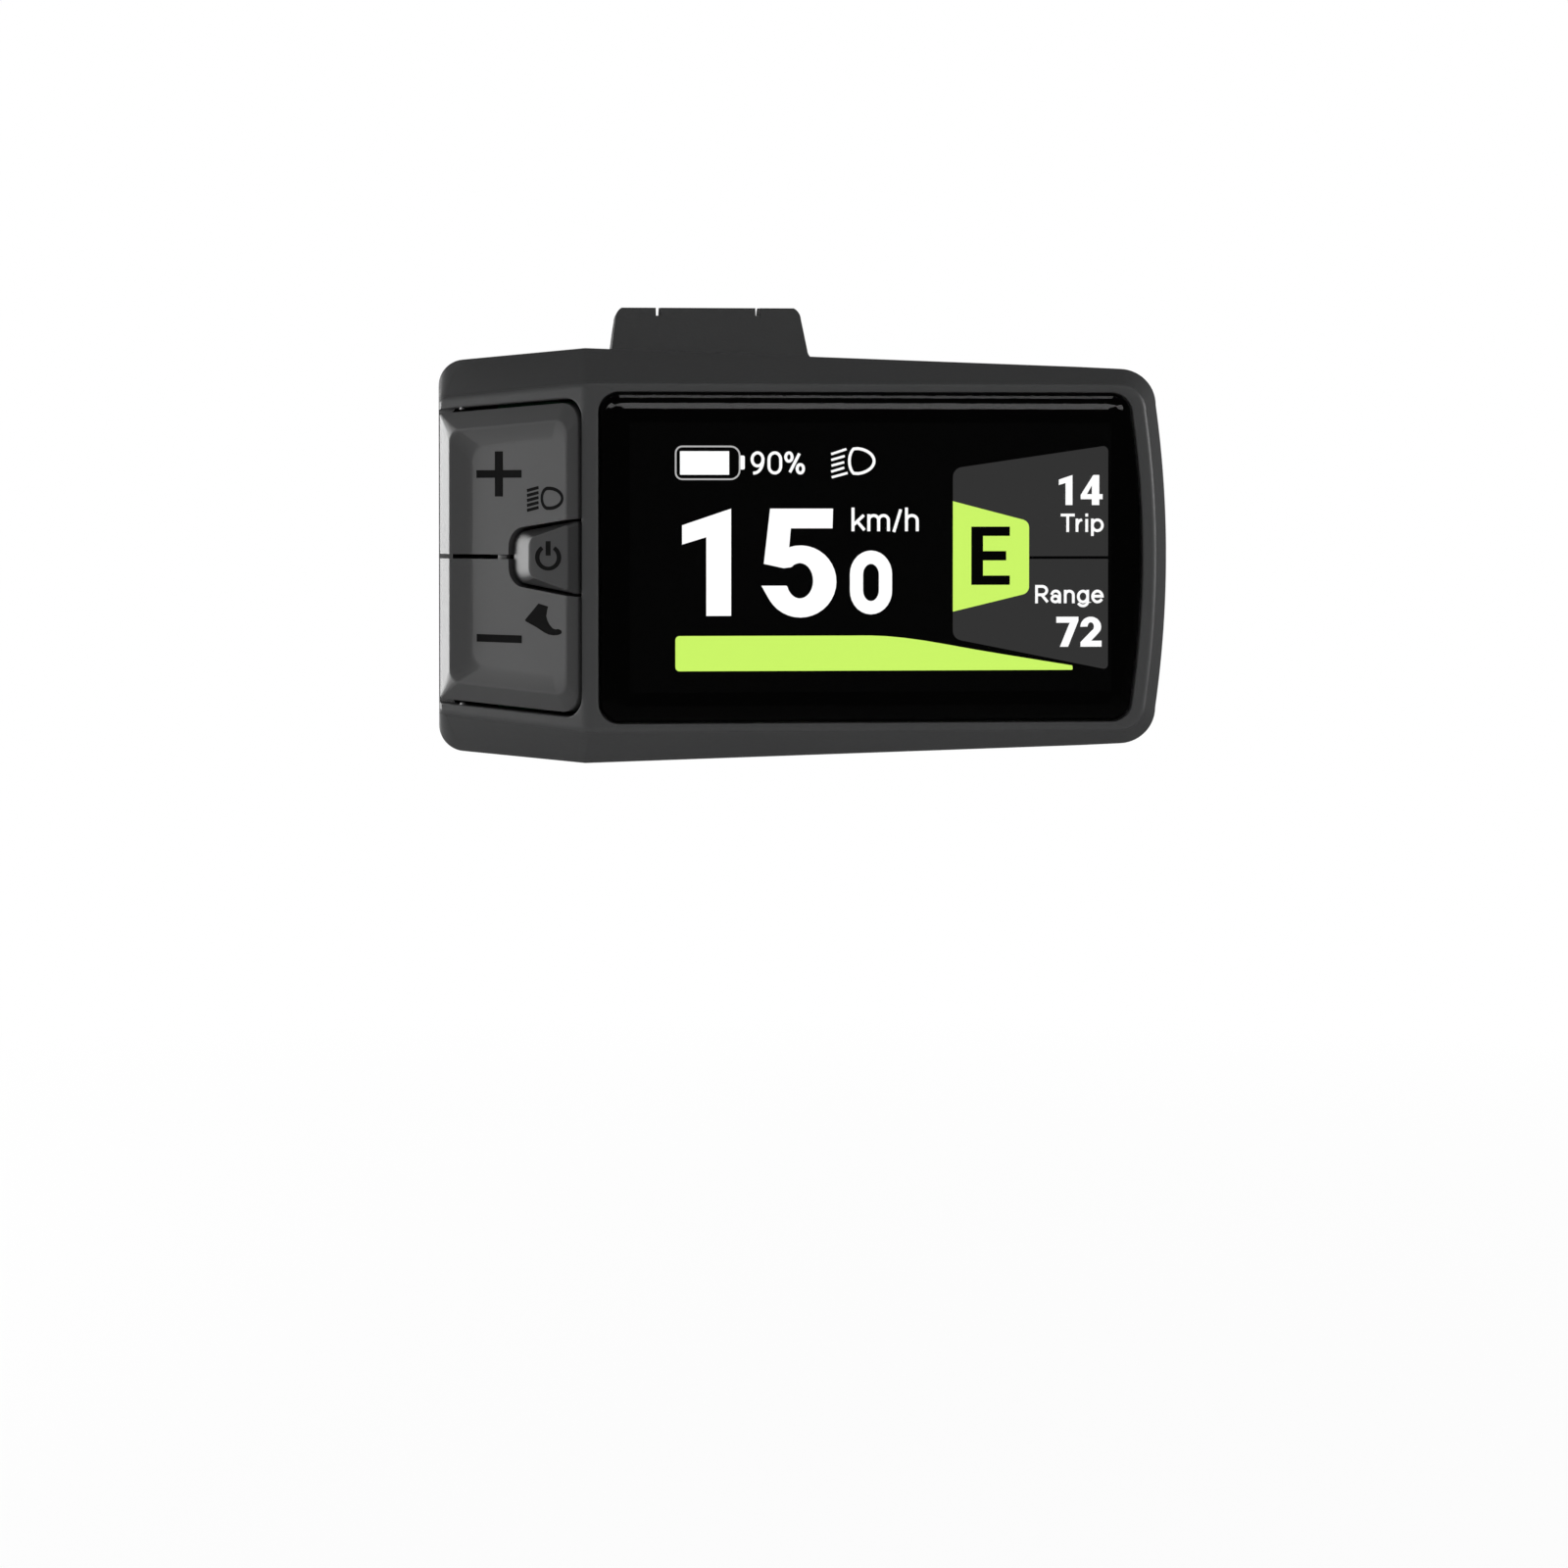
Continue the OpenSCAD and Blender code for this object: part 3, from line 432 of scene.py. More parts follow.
FINISHES = {
    Slot.SHELL: Moulded("shell_plastic", (0.0375, 0.038, 0.0385), 0.46, specular=0.42),
    Slot.KEY: Moulded("key_plastic", (0.0395, 0.0395, 0.040), 0.42, 0.00016, 0.000006, 0.05, 0.5),
    # power key: colour set darker than the rocker keys' plastic, painted shade for its face, which turns from
    # the left lamp towards the front
    Slot.POWER_KEY: Moulded("power_key_plastic_painted_shade", (0.022, 0.022, 0.0225), 0.42, 0.00016, 0.000006, 0.05, 0.5),
    Slot.BRACKET: Moulded("bracket_nylon", (0.025, 0.0255, 0.026), 0.52, 0.0003, 0.00002, 0.1, 0.4),
    Slot.RUBBER: Moulded("rubber", (0.014, 0.014, 0.015), 0.72, 0.0004, 0.00002, 0.12, 0.3),
    Slot.TAPE: Moulded("tape", (0.008, 0.008, 0.008), 0.6, 0.0005, 0.00001),
    Slot.LCD: Moulded("lcd_face", (0.0016, 0.0016, 0.0018), 0.5, 0.0002, 0.000001, specular=0.0),
    Slot.BACKLIGHT: Moulded("light_guide", (0.78, 0.79, 0.8), 0.3, 0.0006, 0.000004, 0.03),
    Slot.FLEX: Laminate("flex_film", (0.42, 0.17, 0.03), (0.55, 0.3, 0.1), 0.35),
    Slot.BOARD: Laminate("board_mask", (0.012, 0.085, 0.035), (0.03, 0.16, 0.07), 0.3),
    Slot.CHIP: Moulded("chip_package", (0.014, 0.014, 0.015), 0.5, 0.00012, 0.000008),
    Slot.CAN: Metal("tinned_can", (0.62, 0.62, 0.6), 0.32, (1, 1, 8)),
    Slot.CONNECTOR: Moulded("connector_plastic", (0.68, 0.63, 0.52), 0.45),
    Slot.STEEL: Metal("zinc_plate", (0.46, 0.47, 0.48), 0.34, (6, 1, 6)),
    Slot.BOLT_STEEL: Metal("stainless_steel", (0.5, 0.5, 0.5), 0.28, (1, 9, 1)),
    Slot.BRASS: Metal("brass", (0.68, 0.47, 0.18), 0.32, (1, 6, 1)),
    Slot.GLASS: Pane("cover_glass_pane"),
}
PRINT = Moulded("black_print", (0.0012, 0.0012, 0.0013), 0.6, 0.0004, 0.000001, specular=0.0)
MARK_INK = Moulded("mark_ink", (0.0015, 0.0015, 0.0015), 0.7, 0.0002, 0.000002, specular=0.05)
PIN_NYLON = Moulded("pin_nylon", (0.22, 0.22, 0.22), 0.5, specular=0.3)
WHITE_LIGHT = Lit("image_white", (1.0, 1.0, 1.0), 1.12)
GREEN_LIGHT = Lit("image_green", (0.604, 0.922, 0.138), 1.09)
PANEL_LIGHT = Lit("image_grey", (0.0331, 0.0331, 0.0331), 1.05)
CASE_LIGHT = Lit("image_pale_grey", (0.5, 0.5, 0.5), 1.0)
DARK_IMAGE = Lit("image_black", (0.0, 0.0, 0.0), 0.0)


class Palette:
    """Builds each finish once."""

    def __init__(self) -> None:
        """Starts with nothing built."""
        self.made: dict[str, bpy.types.Material] = {}

    def get(self, finish: Finish | Slot) -> bpy.types.Material:
        """The material of a finish or a slot.

        Args:
            finish: a finish, or the slot that it belongs to.

        Returns:
            The material, built at its first use.
        """
        if isinstance(finish, Slot):
            finish = FINISHES[finish]
        if finish.name not in self.made:
            self.made[finish.name] = finish.material()
        return self.made[finish.name]


PALETTE = Palette()


# Outlines

def mix(first: float, second: float, share: float) -> float:
    """A value between two."""
    return first + (second - first) * share


def arc(cx: float, cy: float, rx: float, ry: float, start: float, end: float, steps: int = 12) -> list[Point]:
    """Points of an elliptical arc.

    Args:
        cx, cy: centre.
        rx, ry: half axes.
        start, end: angles in degrees.
        steps: number of chords.

    Returns:
        The points in order.
    """
    turns = [math.radians(mix(start, end, k / steps)) for k in range(steps + 1)]
    return [(cx + rx * math.cos(a), cy + ry * math.sin(a)) for a in turns]


def quarter(steps: int) -> list[float]:
    """Angles in radians over a quarter turn."""
    return [math.radians(90 * k / steps) for k in range(steps + 1)]


def rounded(corners: Sequence[tuple[float, float, float]], steps: int = 6) -> list[Point]:
    """A closed outline with rounded corners.

    Args:
        corners: x, y and radius of each corner.
        steps: chords of each rounded corner.

    Returns:
        The outline's points.
    """
    points: list[Point] = []
    count = len(corners)
    for k, (x, y, radius) in enumerate(corners):
        here = Vector((x, y))
        before = (Vector(corners[k - 1][:2]) - here).normalized()
        after = (Vector(corners[(k + 1) % count][:2]) - here).normalized()
        if radius <= 0:
            points.append((x, y))
            continue
        half = before.angle(after) / 2
        reach = radius / math.tan(half)
        first, last = here + before * reach, here + after * reach
        centre = here + (before + after).normalized() * (radius / math.sin(half))
        start, end = first - centre, last - centre
        sweep = start.angle_signed(end)
        for i in range(steps + 1):
            turned = start.copy()
            turned.rotate(Matrix.Rotation(-sweep * i / steps, 2))
            points.append(tuple(centre + turned))
    return points


@dataclass(frozen=True)
class HalfOutline:
    """Upper half of an outline with two rounded corners and a side that may bow.

    Args:
        left, left_h, left_r: left end, its half height and corner radius.
        right, right_h, right_r: right end, its half height and corner radius.
        bow: how far the right side bows outwards.
        knots: places of extra points along the top.
        middle_h: half height at x = 0, where the top line bends.
    """
    left: float
    left_h: float
    left_r: float
    right: float
    right_h: float
    right_r: float
    bow: float = 0.0
    knots: tuple[float, ...] = ()
    middle_h: float = 0.0

    def points(self, steps: int = 14) -> list[Point]:
        """Points from the left end over the top to the right end.

        Args:
            steps: chords of each corner and points down the bow.

        Returns:
            The points, as (x, z).
        """
        bent = bool(self.knots)
        rise = (self.middle_h if bent else self.right_h) - self.left_h
        rise_angle = math.atan2(rise, -self.left if bent else self.right - self.left)
        fall_angle = math.atan2(self.middle_h - self.right_h, self.right) if bent else -rise_angle
        end = self.right - self.bow
        left_z = self.left_h + self.left_r * math.tan(rise_angle) - self.left_r / math.cos(rise_angle)
        right_z = self.right_h + self.right_r * math.tan(fall_angle) - self.right_r / math.cos(fall_angle)
        points = arc(self.left + self.left_r, left_z, self.left_r, self.left_r,
                     180, 90 + math.degrees(rise_angle), steps)
        for knot in self.knots:
            edge, edge_h = (self.left, self.left_h) if knot < 0 else (self.right, self.right_h)
            points.append((knot, mix(self.middle_h, edge_h, knot / edge)))
        points += arc(end - self.right_r, right_z, self.right_r, self.right_r,
                      90 - math.degrees(fall_angle), 0, steps)
        if self.bow:
            shares = [1 - (k + 1) / (steps + 1) for k in range(steps)]
            points += [(end + self.bow * (1 - share * share), right_z * share) for share in shares]
        return points


def whole(half: Sequence[Point]) -> list[Point]:
    """An upper half and its mirror image, as a closed outline."""
    return list(half) + [(x, -z) for x, z in reversed(half)]


# Meshes

class Solid:
    """A mesh made in millimetres in a frame of its own, and the object that it becomes."""
    MITRE: float = 0.35

    def __init__(self, name: str, place: Matrix) -> None:
        """Starts an empty mesh.

        Args:
            name: the piece's name.
            place: from the piece's frame in millimetres to the row frame in metres.
        """
        self.name = name
        self.place = place
        self.mesh = bmesh.new()

    def ring(self, points: Sequence[Point3]) -> list[bmesh.types.BMVert]:
        """Adds the vertices of a ring."""
        return [self.mesh.verts.new(self.place @ Vector(point)) for point in points]

    def bridge(self, first: Sequence[bmesh.types.BMVert], second: Sequence[bmesh.types.BMVert],
               closed: bool = True) -> None:
        """Joins two rings of equal length by quads.

        Args:
            first, second: the rings.
            closed: whether the last vertices join the first ones.
        """
        count = len(first)
        for i in range(count if closed else count - 1):
            j = (i + 1) % count
            self.mesh.faces.new((first[i], second[i], second[j], first[j]))

    def ladder(self, ring: Sequence[bmesh.types.BMVert]) -> None:
        """Caps a ring that mirrors about its middle with quads from side to side.

        Args:
            ring: the ring, its upper half first.
        """
        half = len(ring) // 2
        for i in range(half - 1):
            self.mesh.faces.new((ring[i], ring[i + 1], ring[-2 - i], ring[-1 - i]))

    def loft(self, rings: Sequence[Sequence[Point3]], caps: bool = True) -> "Solid":
        """Adds a solid through rings.

        Args:
            rings: whole closed rings of equal length.
            caps: whether the first and last rings are capped.

        Returns:
            This solid.
        """
        made = [self.ring(points) for points in rings]
        for first, second in zip(made, made[1:]):
            self.bridge(first, second)
        if caps:
            self.ladder(made[0])
            self.ladder(made[-1])
        return self

    def mirrored_loft(self, halves: Sequence[Sequence[Point3]], caps: bool = True) -> "Solid":
        """Adds a solid through rings given by their upper halves."""
        return self.loft([list(half) + [(x, y, -z) for x, y, z in reversed(half)] for half in halves], caps)

    def prism(self, outline: Sequence[Point], front: float, rear: float) -> "Solid":
        """Adds a prism along y of an outline in x and z.

        Args:
            outline: the closed outline.
            front, rear: its two faces along y.

        Returns:
            This solid.
        """
        faces = [self.ring([(x, y, z) for x, z in outline]) for y in (front, rear)]
        self.bridge(*faces)
        for cap in faces:
            self.mesh.faces.new(cap)
        return self

    def ribbon(self, path: Sequence[Point], width: float, front: float, rear: float,
               closed: bool = False) -> "Solid":
        """Adds a flat strip of even width along a path, with mitred corners.

        Args:
            path: the strip's middle line in x and z.
            width: the strip's width.
            front, rear: its two faces along y.
            closed: whether the path closes.

        Returns:
            This solid.
        """
        spots = [Vector(point) for point in path]
        count = len(spots)
        sides: list[tuple[Vector, Vector]] = []
        for i, spot in enumerate(spots):
            back = spots[i - 1] if closed or i else None
            ahead = spots[(i + 1) % count] if closed or i < count - 1 else None
            run_in = (spot - back).normalized() if back is not None else None
            run_out = (ahead - spot).normalized() if ahead is not None else None
            run = ((run_in or run_out) + (run_out or run_in)).normalized()
            normal = Vector((-run.y, run.x))
            edge = run_in or run_out
            stretch = 1 / max(self.MITRE, abs(normal.dot(Vector((-edge.y, edge.x)))))
            reach = normal * (width / 2 * stretch)
            sides.append((spot + reach, spot - reach))
        left = [side[0] for side in sides]
        right = [side[1] for side in sides]
        lines = [self.ring([(p.x, y, p.y) for p in line])
                 for line, y in ((left, front), (right, front), (right, rear), (left, rear))]
        for k in range(4):
            self.bridge(lines[k], lines[(k + 1) % 4], closed)
        if not closed:
            for end in (0, -1):
                self.mesh.faces.new([line[end] for line in lines])
        return self

    def finish(self, merge: float = 1e-7) -> bpy.types.Object:
        """Turns the mesh into an object with its normals outwards.

        Args:
            merge: distance under which vertices are merged, in metres.

        Returns:
            The object.
        """
        if merge:
            bmesh.ops.remove_doubles(self.mesh, verts=self.mesh.verts, dist=merge)
        bmesh.ops.recalc_face_normals(self.mesh, faces=self.mesh.faces)
        data = bpy.data.meshes.new(self.name)
        self.mesh.to_mesh(data)
        self.mesh.free()
        made = bpy.data.objects.new(self.name, data)
        bpy.context.scene.collection.objects.link(made)
        return made


def apply_modifiers(piece: bpy.types.Object) -> None:
    """Replaces a piece's mesh by what its modifiers make of it.

    Args:
        piece: the piece.
    """
    graph = bpy.context.evaluated_depsgraph_get()
    made = bpy.data.meshes.new_from_object(piece.evaluated_get(graph))
    piece.modifiers.clear()
    piece.data = made


def cut(piece: bpy.types.Object, *tools: bpy.types.Object, keep: bool = False) -> None:
    """Cuts tools out of a piece, or keeps only what lies inside them.

    Args:
        piece: the piece to cut.
        tools: the cutting solids, which are deleted.
        keep: whether to keep the common part instead.
    """
    for tool in tools:
        modifier = piece.modifiers.new("cut", "BOOLEAN")
        modifier.operation = "INTERSECT" if keep else "DIFFERENCE"
        modifier.solver = "EXACT"
        modifier.object = tool
        apply_modifiers(piece)
        bpy.data.objects.remove(tool, do_unlink=True)


def soften(piece: bpy.types.Object, width: float = 0.0, angle: float = 32.0) -> None:
    """Shades a piece smooth, with bevelled edges and normals weighted by area.

    Args:
        piece: the piece.
        width: width of the bevels in metres, or 0 for none.
        angle: edges sharper than this many degrees are bevelled or kept sharp.
    """
    data = piece.data
    data.polygons.foreach_set("use_smooth", [True] * len(data.polygons))
    if width:
        bevel = piece.modifiers.new("edges", "BEVEL")
        bevel.width = width
        bevel.segments = 2
        bevel.limit_method = "ANGLE"
        bevel.angle_limit = math.radians(angle)
        bevel.use_clamp_overlap = True
    else:
        data.set_sharp_from_angle(angle=math.radians(angle))
    weighted = piece.modifiers.new("normals", "WEIGHTED_NORMAL")
    weighted.keep_sharp = True
    weighted.weight = 60


@dataclass(frozen=True)
class Piece:
    """Facts of a piece: what it rides on, its finish and slot, and the nodes that it stands for."""
    body: Body
    slot: Slot
    finish: Finish | None = None
    nodes: tuple[str, ...] = ()

    def dress(self, made: bpy.types.Object) -> bpy.types.Object:
        """Gives an object the material of its finish, or else of its slot, puts it on its body and hides the
        nodes that it replaces.

        Args:
            made: the object.

        Returns:
            The same object.
        """
        made.data.materials.clear()
        made.data.materials.append(PALETTE.get(self.finish or self.slot))
        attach(made, self.body.value)
        if self.nodes:
            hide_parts(*self.nodes)
        log.info("%s rides on %s, %d faces", made.name, self.body.value, len(made.data.polygons))
        return made


# Sizes that the pieces share

@dataclass(frozen=True)
class Layout:
    """Main sizes of the display in millimetres, in a frame with its origin on the ridge.

    The glass lies in the plane y = 0, and y runs into the housing.
    """
    glass_w: float = 66.4
    glass_h: float = 40.0
    glass_t: float = 1.2
    glass_corner: float = 2.5
    glass_bow: float = 1.3
    glass_gap: float = 0.15
    rim_side: float = 1.3
    rim_end: float = 2.0
    rim_ridge: float = 1.4
    rim_corner: float = 3.4
    facet_len: float = 23.8
    facet_angle: float = 40.0
    facet_taper: float = 1.4
    key_taper: float = 0.85
    ridge_round: float = 0.7
    key_gap: float = 0.45
    key_open_right: float = 1.05
    key_end_rim: float = 1.4
    key_end_reveal: float = 0.1
    key_corner: float = 2.4
    key_inner_corner: float = 0.8
    key_top_margin: float = 1.8
    key_base: float = 2.4

    @property
    def rim_h(self) -> float:
        """Half height of the front rim."""
        return self.glass_h / 2 + self.rim_side

    @property
    def face_w(self) -> float:
        """Width of the flat front from the ridge to the right end."""
        return self.rim_ridge + self.glass_w + self.rim_end

    @property
    def slope(self) -> float:
        """Slope of the facet."""
        return math.tan(math.radians(self.facet_angle))

    @property
    def facet_dx(self) -> float:
        """Width of the facet seen from the front."""
        return self.facet_len * math.cos(math.radians(self.facet_angle))

    @property
    def facet_dy(self) -> float:
        """Depth of the facet."""
        return self.facet_len * math.sin(math.radians(self.facet_angle))

    def key_h(self, s: float) -> float:
        """Half height of the key opening, s to the left of the ridge.

        Args:
            s: distance from the ridge along the facet.

        Returns:
            The half height.
        """
        right = self.rim_h - self.key_top_margin
        left = right - self.key_taper * self.facet_taper
        return mix(right, left, s / self.facet_len)

    def glass(self, off: float) -> HalfOutline:
        """The glass's outline, set in by off.

        Args:
            off: how far the outline is set in.

        Returns:
            The upper half of the outline.
        """
        corner = self.glass_corner - off / 2
        return HalfOutline(self.rim_ridge + off, self.glass_h / 2 - off, corner,
                           self.rim_ridge + self.glass_w - off, self.glass_h / 2 - off, corner,
                           self.glass_bow)

    def origin(self) -> Vector:
        """The ridge, on the glass plane and at mid height, in the row frame in metres."""
        low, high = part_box("cover_glass")
        return Vector((low.x - self.rim_ridge * MM, low.y, (low.z + high.z) / 2))

    def display(self) -> Matrix:
        """From the display's frame in millimetres to the row frame in metres."""
        return Matrix.Translation(self.origin()) @ Matrix.Scale(MM, 4)

    def facet(self) -> Matrix:
        """From the facet's frame in millimetres to the row frame in metres."""
        return self.display() @ Matrix.Rotation(-math.radians(self.facet_angle), 4, "Z")


LAYOUT = Layout()


def flat(points: Sequence[Point], y: float) -> list[Point3]:
    """Points of a plane outline at one depth."""
    return [(x, y, z) for x, z in points]


@dataclass
class FrontShell:
    """Front shell of the housing, with a rounded rim and rounded mouths round the glass and keys."""
    lay: Layout = LAYOUT
    wall: float = 2.0
    fillet: float = 0.9
    mouth: float = 0.22
    belt_edge: float = 0.4
    end_wall: float = 4.7
    belt_fall: float = 4.5
    belt_right: float = 6.5
    flares: tuple[float, float, float] = (4.5, 4.7, 1.8)
    end_fillet: float = 0.4
    end_rim_corner: float = 1.0
    end_out_left: float = 0.1
    end_out_right: float = 2.07
    belt_corner: float = 4.5
    end_corner: float = 3.3
    deck_y: float = 3.2
    ledge_y: float = 1.4
    parting: float = 0.05
    window_border: Point = (3.6, 3.5)
    window_gap: float = 0.4
    rebate: float = 1.0125
    rebate_inset: float = 0.03
    rebate_over: Point = (3.0, 1.0)
    rebate_corner: float = 0.3
    window_over: float = 3.0
    key_cut_over: float = 4.0
    ridge_reach: float = 1.6
    least_corners: Point = (0.2, 0.4)
    inner_share: float = 0.12
    knots: int = 9
    fillet_steps: int = 6
    flank_steps: int = 7
    belt_steps: int = 3
    mouth_steps: int = 5
    window_steps: int = 4
    smooth: float = 34.0

    def front_y(self, x: float) -> float:
        """Depth of the front surface at x.

        Args:
            x: distance from the ridge.

        Returns:
            The depth, which bends softly over the ridge.
        """
        lay = self.lay
        if x >= lay.ridge_round:
            return 0.0
        if x <= -lay.ridge_round:
            return -x * lay.slope
        return lay.slope * (x - lay.ridge_round) ** 2 / (4 * lay.ridge_round)

    def belt_y(self, x: float) -> float:
        """Depth of the parting line at x.

        Args:
            x: distance from the ridge.

        Returns:
            The depth.
        """
        left = self.lay.facet_dy + self.end_wall
        ridge = left - self.belt_fall
        if x < 0:
            return mix(ridge, left, -x / self.lay.facet_dx)
        return mix(ridge, self.belt_right, x / self.lay.face_w)

    def half(self, share: float, off: float) -> list[Point]:
        """Upper outline from the rim (share 0) to the parting line (share 1), set in by off.

        Args:
            share: how far down the flank.
            off: how far the outline is set in.

        Returns:
            The outline's points.
        """
        lay = self.lay
        left, middle, right = self.flares
        least_left, least_right = self.least_corners
        reach = lay.ridge_round * self.ridge_reach
        ridge = [mix(-reach, reach, k / (self.knots - 1)) for k in range(self.knots)]
        along = [mix(-lay.facet_dx, -reach, k / 4) for k in (1, 2, 3)]
        across = [mix(reach, lay.face_w, k / 8) for k in range(1, 8)]
        return HalfOutline(
            -lay.facet_dx - self.end_out_left * share + off * mix(self.end_fillet, 1.0, share),
            lay.rim_h - lay.facet_taper + left * share - off,
            max(mix(self.end_rim_corner, self.end_corner, share) - off, least_left),
            lay.face_w + self.end_out_right * share - off, lay.rim_h + right * share - off,
            max(mix(lay.rim_corner, self.belt_corner, share) - off, least_right),
            lay.glass_bow, tuple(along + ridge + across), lay.rim_h + middle * share - off).points()

    def front(self, off: float, dy: float) -> list[Point3]:
        """Ring on the front surface."""
        return [(x, self.front_y(x) + dy, z) for x, z in self.half(0, off)]

    def belt(self, off: float, dy: float) -> list[Point3]:
        """Ring on the parting surface."""
        return [(x, self.belt_y(x) + dy, z) for x, z in self.half(1, off)]

    def inner(self) -> list[Point3]:
        """Ring of the inner deck.

        Returns:
            The upper half of the ring.
        """
        thick = self.wall / math.cos(math.radians(self.lay.facet_angle))
        return [(x, max(self.deck_y, -x * self.lay.slope + thick), z)
                for x, z in self.half(self.inner_share, self.wall)]

    def shell(self) -> bpy.types.Object:
        """The shell before its openings are cut.

        Returns:
            The shell.
        """
        rings = [self.front(self.fillet * (1 - math.sin(turn)), self.fillet * (1 - math.cos(turn)))
                 for turn in quarter(self.fillet_steps)]
        rim = rings[-1]
        edge = self.belt(0, -self.belt_edge - self.parting)
        for k in range(1, self.flank_steps):
            share = k / self.flank_steps
            rings.append([tuple(mix(p, q, share) for p, q in zip(a, b)) for a, b in zip(rim, edge)])
        for turn in quarter(self.belt_steps):
            rings.append(self.belt(self.belt_edge * (1 - math.cos(turn)),
                                   -self.parting - self.belt_edge * (1 - math.sin(turn))))
        rings.append(self.belt(self.wall, -self.parting))
        rings.append(self.inner())
        return Solid("front_shell", self.lay.display()).mirrored_loft(rings).finish()

    def mouth_tool(self, name: str, outline: Callable[[float], Sequence[Point]], place: Matrix,
                   depth: float, top: float = -1.5) -> bpy.types.Object:
        """A cutter whose mouth flares with a rounded lip.

        Args:
            name: the cutter's name.
            outline: upper half of the opening, grown by its argument.
            place: frame of the opening.
            depth: where the cut ends.
            top: where the cutter starts, above the surface.

        Returns:
            The cutter.
        """
        rings = [flat(outline(self.mouth), top)]
        for turn in quarter(self.mouth_steps):
            rings.append(flat(outline(self.mouth * (1 - math.sin(turn))), self.mouth * (1 - math.cos(turn))))
        rings.append(flat(outline(0.0), depth))
        return Solid(name, place).mirrored_loft(rings).finish()

    def key_opening(self, grow: float) -> list[Point]:
        """Upper half of the key opening, grown by grow.

        Args:
            grow: how far the opening is grown.

        Returns:
            The outline's points.
        """
        lay = self.lay
        left = lay.facet_len - lay.key_end_rim + grow
        right = lay.key_open_right - grow
        return HalfOutline(-left, lay.key_h(left) + grow, lay.key_inner_corner + grow,
                           -right, lay.key_h(right) + grow, lay.key_corner + grow).points()

    def rebate_opening(self, grow: float) -> list[Point]:
        """Upper half of the step that lets the keys run over the left rim.

        Args:
            grow: how far the step is grown.

        Returns:
            The outline's points.
        """
        lay = self.lay
        out, over = self.rebate_over
        left = lay.facet_len + out
        right = lay.facet_len - lay.key_end_rim - over
        inset = self.rebate_inset - grow
        corner = self.rebate_corner
        return HalfOutline(-left, lay.key_h(left) - inset, corner,
                           -right, lay.key_h(right) - inset, corner).points()

    def build(self) -> bpy.types.Object:
        """Builds the shell with its openings.

        Returns:
            The finished shell.
        """
        lay = self.lay
        made = self.shell()
        side_x, side_z = self.window_border
        gap = self.window_gap
        half_z = lay.glass_h / 2 - side_z + gap
        window = HalfOutline(lay.rim_ridge + side_x - gap, half_z, gap,
                             lay.rim_ridge + lay.glass_w - side_x + gap, half_z,
                             gap).points(self.window_steps)
        cut(made,
            self.mouth_tool("glass_cut", lambda grow: lay.glass(-lay.glass_gap - grow).points(),
                            lay.display(), self.ledge_y),
            Solid("window_cut", lay.display()).prism(
                whole(window), 0, self.deck_y + self.window_over).finish(),
            self.mouth_tool("key_cut", self.key_opening, lay.facet(), lay.key_base + self.key_cut_over),
            self.mouth_tool("rebate_cut", self.rebate_opening, lay.facet(), self.rebate))
        soften(made, angle=self.smooth)
        return Piece(Body.HOUSING, Slot.SHELL, nodes=("front_housing",)).dress(made)


@dataclass
class Screen:
    """Cover glass, its black print and the lit image.

    A ring of the bevel is its inset and its depth. The window is the left and right ends and the half
    height of the clear part of the print.
    """
    lay: Layout = LAYOUT
    bevel: tuple[Point, ...] = (
        (2.05, 0.0), (1.98, 0.001), (1.9, 0.012), (1.6, 0.056), (1.26, 0.106), (1.18, 0.122),
        (1.1, 0.14), (0.7, 0.247), (0.65, 0.2605), (0.6, 0.2828), (0.3, 0.4163), (0.25, 0.4386),
        (0.16, 0.52), (0.08, 0.66), (0.02, 0.84), (0.0, 0.98))
    window: tuple[float, float, float] = (5.1, 64.1, 16.4)
    rear_edge: float = 0.1
    steps: int = 18
    smooth: float = 40.0
    print_inset: float = 0.03
    print_corner: float = 0.3
    print_bow: float = 0.001
    print_gap: float = -0.012
    print_t: float = 0.014
    image_front: float = 1.217
    image_rear: float = 1.2215
    layer: float = 0.003

    def glass(self) -> bpy.types.Object:
        """The cover glass with its bevelled edge.

        Returns:
            The glass.
        """
        lay = self.lay
        edge = self.rear_edge
        faces = (*self.bevel, (0.0, lay.glass_t - edge), (edge, lay.glass_t))
        rings = [flat(lay.glass(off).points(self.steps), y) for off, y in faces]
        made = Solid("glass", lay.display()).mirrored_loft(rings).finish()
        soften(made, angle=self.smooth)
        return Piece(Body.HOUSING, Slot.GLASS, nodes=("cover_glass",)).dress(made)

    def border(self) -> bpy.types.Object:
        """The black print under the rim of the glass.

        Returns:
            The print.
        """
        lay = self.lay
        outer = lay.glass(self.print_inset).points()
        left, right, half_z = self.window
        corner = self.print_corner
        inner = HalfOutline(left, half_z, corner, right, half_z, corner, self.print_bow).points()
        front = lay.glass_t + self.print_gap
        rings = [flat(outer, front), flat(inner, front), flat(inner, front + self.print_t),
                 flat(outer, front + self.print_t), flat(outer, front)]
        made = Solid("glass_print", lay.display()).mirrored_loft(rings, caps=False).finish()
        soften(made)
        return Piece(Body.HOUSING, Slot.TAPE, PRINT).dress(made)

    def image_part(self, name: str, finish: Lit, layer: int, draw: Callable[[Solid, float, float], None]
                   ) -> bpy.types.Object:
        """One lit region of the image.

        Args:
            name: its name.
            finish: its light.
            layer: 0 for the rearmost.
            draw: draws the region between a front and a rear depth.

        Returns:
            The region's object.
        """
        solid = Solid(name, self.lay.display())
        draw(solid, self.image_front - layer * self.layer, self.image_rear)
        made = solid.finish(merge=0)
        return Piece(Body.HOUSING, Slot.LCD, finish).dress(made)


# Letters and figures of the image

Stroke = tuple[list[Point], bool]
Placed = tuple[str, float, float]


